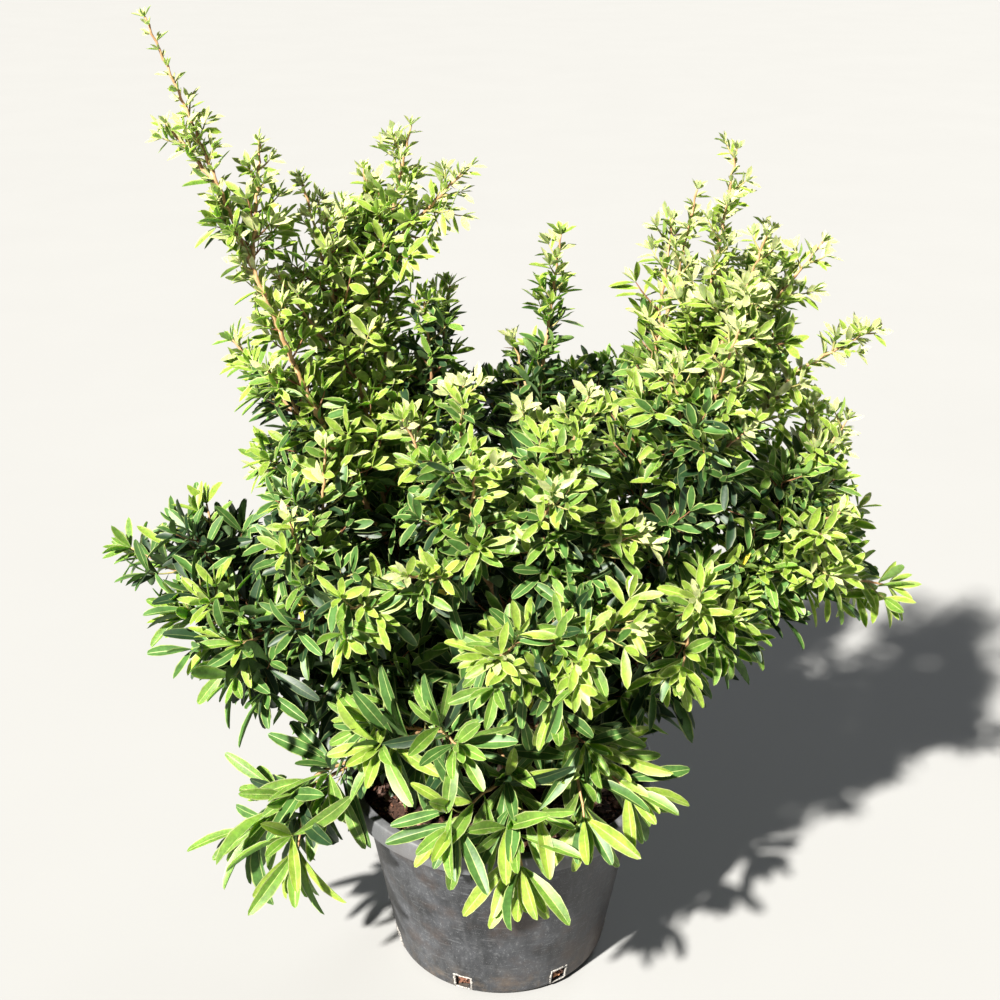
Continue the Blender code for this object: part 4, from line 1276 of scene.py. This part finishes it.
def flared_radii(line):
    rise = (line[:, 2] - line[0][2]) / FLARE_HEIGHT
    taper = np.linspace(TRUNK_RADIUS, TRUNK_TOP_RADIUS, len(line))
    return taper * (1 + np.maximum(0, 1 - rise) ** 2 * (FLARE_RADIUS / TRUNK_RADIUS - 1) * FLARE_FILL)


def limb_parts():
    line, _ = points_along(trunk_line(), TRUNK_RING_STEP)
    parts = [tube(line, flared_radii(line), LIMB_SIDES)]
    for bough in boughs.values():
        line, _ = points_along(np.vstack([bough.node[None], bough.line]), BOUGH_RING_STEP)
        radii = np.linspace(BOUGH_RADIUS * BOUGH_FOOT_SWELL, BOUGH_TIP_RADIUS, len(line))
        parts.append(tube(line, radii, LIMB_SIDES))
    for stem in stems.values():
        line = np.array([stem.node, (stem.node * 0.4 + stem.start * 0.6), stem.start])
        parts.append(tube(line, STEM_FOOT_SWELLS * STEM_RADIUS, 8))
    return [(corners, faces, np.zeros(len(faces))) for corners, faces in parts]


def relief(point):
    """How far the bark stands out at a point: ridges along the trunk, and fine lumps."""
    stretched = Vector((point.x * RIDGES_ROUND, point.y * RIDGES_ROUND, point.z * RIDGES_ALONG))
    ridges = noise.noise(stretched)
    lumps = noise.noise(point * LUMPS)
    return RIDGE_DEPTH * ridges + LUMP_DEPTH * lumps


limbs = piece_from("trunk_and_boughs", *joined(limb_parts()), [trunk_bark])
remesh = limbs.modifiers.new("skin", "REMESH")
remesh.mode = "VOXEL"
remesh.voxel_size = LIMB_VOXEL
skin = settled_mesh(limbs)
shape = bmesh.new()
shape.from_mesh(skin)
bmesh.ops.smooth_vert(
    shape, verts=shape.verts, factor=0.5, use_axis_x=True, use_axis_y=True, use_axis_z=True)
shape.normal_update()
for vertex in shape.verts:
    depth = relief(vertex.co)
    if vertex.co.z > soil_top() + 2 * GAP:
        vertex.co += vertex.normal * depth
shape.to_mesh(skin)
shape.free()
skin.materials.clear()
skin.materials.append(trunk_bark)
skin.shade_smooth()
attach(limbs, "root")
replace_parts(limbs, "trunk", *BOUGHS)
print("trunk and boughs:", len(skin.polygons), "faces")

# %% [markdown]
# The pot is moulded charcoal plastic, scuffed and dusty from the nursery. Vertical streaks, fine scratches
# round it, pale scuffs and speckles and brown patches lie over it. A brown dust gathers low down. The rim
# band and lip are paler, partly rubbed wear and partly a painted highlight where they face up to the light.
# Each layer is a mask blended over the last, so each can be tuned alone.


# %% Pot paint
def pot_paint():
    paint = Paint("scuffed_plastic", Specular_IOR_Level=0.45)
    height = paint.height()
    streaks = paint.ramp(paint.grain(0.006, 4, (1, 1, 0.10)), 0.42, 0.72)
    scratches = paint.ramp(paint.grain(0.0024, 5, (0.16, 0.16, 1)), 0.55, 0.72)
    speckles = paint.ramp(paint.grain(0.0013, 2), 0.63, 0.70)
    clouds = paint.ramp(paint.grain(0.045, 4), 0.35, 0.70)
    scuffs = paint.ramp(paint.grain(0.0030, 5, (1, 1, 0.6)), 0.54, 0.70)
    tone = paint.blend(clouds, (0.014, 0.015, 0.017), (0.056, 0.059, 0.066))
    tone = paint.blend(streaks * 0.24, tone, (0.100, 0.104, 0.110))
    tone = paint.blend(scratches * 0.52, tone, (0.135, 0.140, 0.148))
    tone = paint.blend(scuffs * clouds * 0.6, tone, (0.180, 0.184, 0.190))
    tone = paint.blend(speckles * 0.45, tone, (0.240, 0.244, 0.250))
    patches = paint.ramp(paint.grain(0.070, 4), 0.50, 0.68)
    tone = paint.blend(patches * 0.60, tone, (0.056, 0.036, 0.026))
    low = 1 - paint.ramp(height, 0.004, 0.050)
    # The rim band and lip are made paler, partly as rubbed wear and partly as a painted highlight where they
    # face up to the light.
    rim_wear_and_highlight = paint.ramp(height, POT_HEIGHT - RIM_HEIGHT - 0.002, POT_HEIGHT - RIM_HEIGHT + 0.002)
    lip_wear_and_highlight = paint.ramp(height, POT_HEIGHT - 0.006, POT_HEIGHT)
    dust = paint.ramp(paint.grain(0.012, 4), 0.40, 0.75)
    tone = paint.blend(low * dust * 0.65, tone, (0.130, 0.098, 0.070))
    tone = paint.blend(rim_wear_and_highlight * 0.50 + lip_wear_and_highlight * 0.30 * streaks, tone, (0.168, 0.172, 0.178))
    roughness = 0.46 + 0.20 * clouds + 0.16 * scuffs
    return paint.finish(tone, roughness, scratches * 0.5 + speckles * 0.5, 0.0002, 0.45)


scuffed_plastic = pot_paint()
print("pot paint ready")

# %% [markdown]
# The pot's wall is one outline turned round its axis: rounded foot, leaning wall, a shoulder, the skirt of
# the rim, a rounded lip and back down inside. Spinning it in many steps keeps it round. Square drain holes
# and shallow notches under the foot are then cut through with one Boolean, before its edges are smoothed.

# %% Pot
POT_STEPS = 144
HOLE_SIDE = 0.016
HOLE_COUNT = 7
HOLE_HEIGHT = 0.014
HOLE_DEPTH = 0.03
FIRST_HOLE = math.radians(-109.5)
NOTCH_WIDTH = 0.024
NOTCH_HEIGHT = 0.003
NECK_DROP = 0.005
STEP_DOWN = 0.001
LIP_ROUND = 0.002
FOOT_RADIUS = 0.05
SHARP_ANGLE = math.radians(35)


def arc(centre, radius, first, last, steps):
    angles = np.radians(np.linspace(first, last, steps + 1))
    return [(centre[0] + radius * math.cos(a), centre[1] + radius * math.sin(a)) for a in angles]


def neck_height():
    """Where the leaning wall ends, just under the rim's skirt."""
    return POT_HEIGHT - RIM_HEIGHT - NECK_DROP


def inner_radius(height):
    """The radius of the pot's inner wall below its shoulder."""
    share = (height - BASE_ROUND) / (neck_height() - STEP_DOWN - BASE_ROUND)
    return BASE_RADIUS - WALL + (SHOULDER_RADIUS - BASE_RADIUS) * share


def wall_points(low, high, steps):
    """Evenly spaced points from one (radius, height) to another."""
    low, high = np.array(low), np.array(high)
    return [tuple(low + (high - low) * share) for share in np.linspace(0, 1, steps + 1)]


def pot_outline():
    skirt = POT_HEIGHT - RIM_HEIGHT
    lip_inner = RIM_RADIUS - LIP_WIDTH
    neck = neck_height()
    outline = [(0, 0), (FOOT_RADIUS, 0)]
    outline += arc((BASE_RADIUS - BASE_ROUND, BASE_ROUND), BASE_ROUND, -90, 0, 6)
    outline += wall_points((BASE_RADIUS, BASE_ROUND), (SHOULDER_RADIUS, neck), 12)[1:]
    outline += [(SHOULDER_RADIUS + 0.0008, neck + 0.0010)]
    outline += [(lip_inner + WALL, skirt + 0.004), (lip_inner + WALL, POT_HEIGHT - WALL)]
    outline += [(RIM_RADIUS - WALL, POT_HEIGHT - WALL), (RIM_RADIUS - WALL, skirt + 0.0006)]
    outline += arc((RIM_RADIUS - WALL / 2, skirt + WALL / 2), WALL / 2, -170, 0, 6)
    outline += wall_points((RIM_RADIUS, skirt + WALL / 2), (RIM_RADIUS, POT_HEIGHT - LIP_ROUND), 3)
    outline += arc((RIM_RADIUS - LIP_ROUND, POT_HEIGHT - LIP_ROUND), LIP_ROUND, 0, 90, 4)
    outline += arc((lip_inner + LIP_ROUND, POT_HEIGHT - LIP_ROUND), LIP_ROUND, 90, 180, 4)
    inner_step = (SHOULDER_RADIUS - WALL, neck - STEP_DOWN)
    outline += [(lip_inner, skirt + 0.003), inner_step]
    outline += wall_points(inner_step, (inner_radius(BASE_ROUND), BASE_ROUND), 6)[1:]
    outline += [(BASE_RADIUS - BASE_ROUND, WALL), (0, WALL)]
    return outline


def box_at(shape, size, place, turn):
    made = bmesh.ops.create_cube(shape, size=1)["verts"]
    bmesh.ops.scale(shape, vec=size, verts=made)
    bmesh.ops.rotate(shape, cent=(0, 0, 0), matrix=Matrix.Rotation(turn, 3, "Z"), verts=made)
    bmesh.ops.translate(shape, vec=place, verts=made)


def around(index, radius, height, half=False):
    """A place on a circle, at a hole's angle or half-way to the next, and that angle."""
    angle = FIRST_HOLE + (index + (0.5 if half else 0.0)) * math.tau / HOLE_COUNT
    return Vector((radius * math.cos(angle), radius * math.sin(angle), height)), angle


def turned_mesh(name, outline, steps):
    shape = bmesh.new()
    points = [shape.verts.new((radius, 0, height)) for radius, height in outline]
    edges = [shape.edges.new(pair) for pair in zip(points, points[1:])]
    bmesh.ops.spin(
        shape, geom=points + edges, cent=(0, 0, 0), axis=(0, 0, 1), angle=math.tau,
        steps=steps, use_merge=True, use_duplicate=False)
    bmesh.ops.remove_doubles(shape, verts=shape.verts, dist=0.00001)
    bmesh.ops.recalc_face_normals(shape, faces=shape.faces)
    mesh = bpy.data.meshes.new(name)
    shape.to_mesh(mesh)
    shape.free()
    return mesh


def linked(name, mesh):
    thing = bpy.data.objects.new(name, mesh)
    bpy.context.scene.collection.objects.link(thing)
    return thing


pot = linked("moulded_pot", turned_mesh("moulded_pot", pot_outline(), POT_STEPS))
cutters = bmesh.new()
for index in range(HOLE_COUNT):
    place, angle = around(index, BASE_RADIUS - WALL / 2, HOLE_HEIGHT)
    box_at(cutters, (HOLE_DEPTH, HOLE_SIDE, HOLE_SIDE), place, angle)
    place, angle = around(index, BASE_RADIUS, 0, True)
    box_at(cutters, (BASE_ROUND * 2, NOTCH_WIDTH, NOTCH_HEIGHT * 2), place, angle)
cutter_mesh = bpy.data.meshes.new("pot_cutters")
cutters.to_mesh(cutter_mesh)
cutters.free()
cutter = linked("pot_cutters", cutter_mesh)
holes = pot.modifiers.new("holes", "BOOLEAN")
holes.operation = "DIFFERENCE"
holes.object = cutter
cut_mesh = settled_mesh(pot)
bpy.data.objects.remove(cutter)
cut_mesh.materials.clear()
cut_mesh.materials.append(scuffed_plastic)
cut_mesh.shade_smooth()
cut_mesh.set_sharp_from_angle(angle=SHARP_ANGLE)
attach(pot, "root")
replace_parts(pot, "pot")
print("pot:", len(cut_mesh.polygons), "faces")

# %% [markdown]
# Each drain hole has a ragged pale border where the plastic was torn as it was punched. It is a thin square
# ring that follows the wall, with its edge pushed in and out a little.


# %% Torn borders of the drain holes
def torn_plastic():
    paint = Paint("torn_plastic", Specular_IOR_Level=0.3)
    tone = paint.blend(paint.ramp(paint.grain(0.002, 3), 0.35, 0.65), (0.10, 0.10, 0.10), (0.50, 0.47, 0.43))
    return paint.finish(tone, 0.75, paint.grain(0.001, 2), 0.0002, 0.5)


def wall_radius(height):
    """The pot's outer radius at a height: its rounded foot, then its leaning wall."""
    if height < BASE_ROUND:
        drop = BASE_ROUND - height
        return BASE_RADIUS - BASE_ROUND + math.sqrt(max(0.0, BASE_ROUND**2 - drop**2))
    lean = SHOULDER_RADIUS - BASE_RADIUS
    return BASE_RADIUS + lean * (height - BASE_ROUND) / (neck_height() - BASE_ROUND)


def square_point(share, half):
    """A point on the edge of a square of this half side, at this share of the way round it."""
    side, rest = divmod(share * 4, 1)
    along = (rest * 2 - 1) * half
    return [(along, -half), (half, along), (-along, half), (-half, -along)][int(side) % 4]


BORDER_POINTS = 40
MOST_RAGGED = 0.0017
tear = random.Random("tear")
border_parts = []
for index in range(HOLE_COUNT):
    _, angle = around(index, BASE_RADIUS, HOLE_HEIGHT)
    corners = []
    for share in np.arange(BORDER_POINTS) / BORDER_POINTS:
        ragged = tear.uniform(0, MOST_RAGGED)
        for half, proud in ((HOLE_SIDE / 2 - 0.0002 - ragged * 0.5, -0.0006),
                            (HOLE_SIDE / 2 + 0.0002, 0.0007),
                            (HOLE_SIDE / 2 + 0.0008 + ragged, 0.0005),
                            (HOLE_SIDE / 2 + 0.0010 + ragged, -0.0004)):
            sideways, rise = square_point(share, half)
            height = HOLE_HEIGHT + rise
            radius = wall_radius(height) + proud
            turn = angle + sideways / BASE_RADIUS
            corners.append((radius * math.cos(turn), radius * math.sin(turn), height))
    faces = []
    for step in range(BORDER_POINTS):
        for ring in range(4):
            here, beyond = step * 4, (step + 1) % BORDER_POINTS * 4
            a, b = here + ring, here + (ring + 1) % 4
            c, d = beyond + (ring + 1) % 4, beyond + ring
            faces += [(a, b, c), (a, c, d)]
    border_parts.append((np.array(corners), np.array(faces), np.zeros(len(faces))))
borders = piece_from("torn_borders", *joined(border_parts), [torn_plastic()])
border_shape = bmesh.new()
border_shape.from_mesh(borders.data)
bmesh.ops.recalc_face_normals(border_shape, faces=border_shape.faces)
border_shape.to_mesh(borders.data)
border_shape.free()
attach(borders, "root")
print("torn borders:", len(borders.data.polygons), "faces")

# %% [markdown]
# The potting mix is dark damp compost with chips of bark lying in it. Its bed is a lumpy disc with a skirt
# that fills the pot, so it also shows through the drain holes. Over a thousand chips are scattered on the
# bed and a few behind each hole. Each is a small split wedge, and is dealt one of four browns.


# %% Soil and bark chips
def soil_paint(name, dark, light, size):
    paint = Paint(name, Specular_IOR_Level=0.25)
    crumbs = paint.grain(size, 5)
    tone = paint.blend(paint.ramp(crumbs, 0.35, 0.68), dark, light)
    return paint.finish(tone, 0.92, crumbs, 0.0015, 0.9)


FLAT_RADIUS = 0.028
FLAT_FADE = 0.02
LUMP_HEIGHT = 0.0035
CRUMB_HEIGHT = 0.0016
BED_DROP = 0.0012
BED_STEPS = 120


def bed_height(x, y):
    """The bed's height at a place: lumpy, but flat round the trunk's foot."""
    radius = math.hypot(x, y)
    calm = min(1.0, max(0.0, (radius - FLAT_RADIUS) / FLAT_FADE))
    lumps = noise.noise(Vector((x * 38, y * 38, 0.3))) * LUMP_HEIGHT
    lumps = lumps + noise.noise(Vector((x * 150, y * 150, 1.7))) * CRUMB_HEIGHT
    return soil_top() - BED_DROP * calm + (lumps - 0.001) * calm


def bed_outline():
    low = WALL + GAP
    edge = inner_radius(soil_top()) - GAP
    corner = (inner_radius(BASE_ROUND) - GAP, BASE_ROUND + GAP)
    outline = [(0, low), (BASE_RADIUS - BASE_ROUND - GAP, low), corner]
    outline += wall_points(corner, (edge, soil_top() - 0.003), 10)[1:]
    rings = np.arange(edge - 0.003, 0.002, -0.0035)
    outline += [(float(radius), soil_top()) for radius in rings] + [(0, soil_top())]
    return outline


bed = linked("potting_mix", turned_mesh("potting_mix", bed_outline(), BED_STEPS))
for vertex in bed.data.vertices:
    if vertex.co.z > soil_top() - 0.001:
        vertex.co.z = bed_height(vertex.co.x, vertex.co.y)
bed.data.materials.append(soil_paint("damp_compost", (0.010, 0.006, 0.005), (0.075, 0.040, 0.028), 0.004))
bed.data.shade_smooth()
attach(bed, "root")
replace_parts(bed, "soil")

CHIP_COUNT = 1700
CHIP_MARGIN = 0.006
HOLE_CHIPS = 16
CHIP_FACES = np.array([
    (0, 2, 1), (0, 3, 2), (4, 5, 6), (4, 6, 7), (0, 1, 5), (0, 5, 4),
    (1, 2, 6), (1, 6, 5), (2, 3, 7), (2, 7, 6), (3, 0, 4), (3, 4, 7)])
CHIP_SQUARE = ((-1, -1), (1, -1), (1, 1), (-1, 1))
scatter = random.Random("chips")
chip_parts = []


def add_chip(centre, turn, half, roughness, shades):
    """Adds one chip: a turned box whose corners are drawn in by chance, in one of these paints."""
    corners = []
    for lift in (-1, 1):
        for ahead, aside in CHIP_SQUARE:
            rough = scatter.uniform(*roughness) if roughness else 1.0
            corners.append(turn @ Vector((ahead * half.x * rough, aside * half.y * rough, lift * half.z)))
    corners = np.array([centre + corner for corner in corners])
    chip_parts.append((corners, CHIP_FACES, np.full(len(CHIP_FACES), scatter.choice(shades))))


while len(chip_parts) < CHIP_COUNT:
    radius = (inner_radius(soil_top()) - CHIP_MARGIN) * math.sqrt(scatter.random())
    angle = scatter.uniform(0, math.tau)
    x, y = radius * math.cos(angle), radius * math.sin(angle)
    if math.hypot(x - TRUNK_FOOT[0], y - TRUNK_FOOT[1]) < FLARE_RADIUS + CHIP_MARGIN:
        continue
    size = 0.003 + 0.011 * scatter.random() ** 2
    half = Vector((size, size * scatter.uniform(0.3, 0.6), size * scatter.uniform(0.12, 0.25))) / 2
    turn = Matrix.Rotation(scatter.uniform(0, math.tau), 3, "Z")
    turn = turn @ Matrix.Rotation(scatter.uniform(-0.5, 0.5), 3, "X")
    add_chip(Vector((x, y, bed_height(x, y) + half.z * 0.6)), turn, half, (0.65, 1.1), (0, 0, 1, 1, 2))
for index in range(HOLE_COUNT):
    for _ in range(HOLE_CHIPS):
        size = scatter.uniform(0.003, 0.007)
        half = Vector((size, size * 0.5, size * 0.25)) / 2
        place, angle = around(index, inner_radius(HOLE_HEIGHT) - 0.0008, HOLE_HEIGHT)
        along = Vector((-math.sin(angle), math.cos(angle), 0)) * scatter.uniform(-0.5, 0.5)
        centre = place + (along + Vector((0, 0, scatter.uniform(-0.5, 0.5)))) * (HOLE_SIDE - 0.004)
        turn = Matrix.Rotation(angle, 3, "Z") @ Matrix.Rotation(scatter.uniform(0, math.tau), 3, "X")
        turn = turn @ Matrix.Rotation(math.pi / 2 + scatter.uniform(-0.3, 0.3), 3, "Z")
        add_chip(centre, turn, half, None, (1, 1, 2, 3))
chip_paints = [
    soil_paint("dark_chip", (0.030, 0.015, 0.010), (0.090, 0.045, 0.030), 0.003),
    soil_paint("red_chip", (0.110, 0.048, 0.030), (0.240, 0.110, 0.070), 0.003),
    soil_paint("pink_chip", (0.260, 0.150, 0.115), (0.430, 0.270, 0.210), 0.003),
    soil_paint("orange_chip", (0.420, 0.190, 0.090), (0.640, 0.340, 0.190), 0.003)]
chips = piece_from("bark_chips", *joined(chip_parts), chip_paints)
chips.data.shade_flat()
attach(chips, "root")
print(len(chip_parts), "chips")

# %% [markdown]
# Last, the sizes are compared.

# %% Sizes
dressed_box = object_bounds()
for low, high, solid_low, solid_high in zip(*dressed_box, *solid_box):
    print("dressed", round(low, 3), round(high, 3), "solid", round(solid_low, 3), round(solid_high, 3))
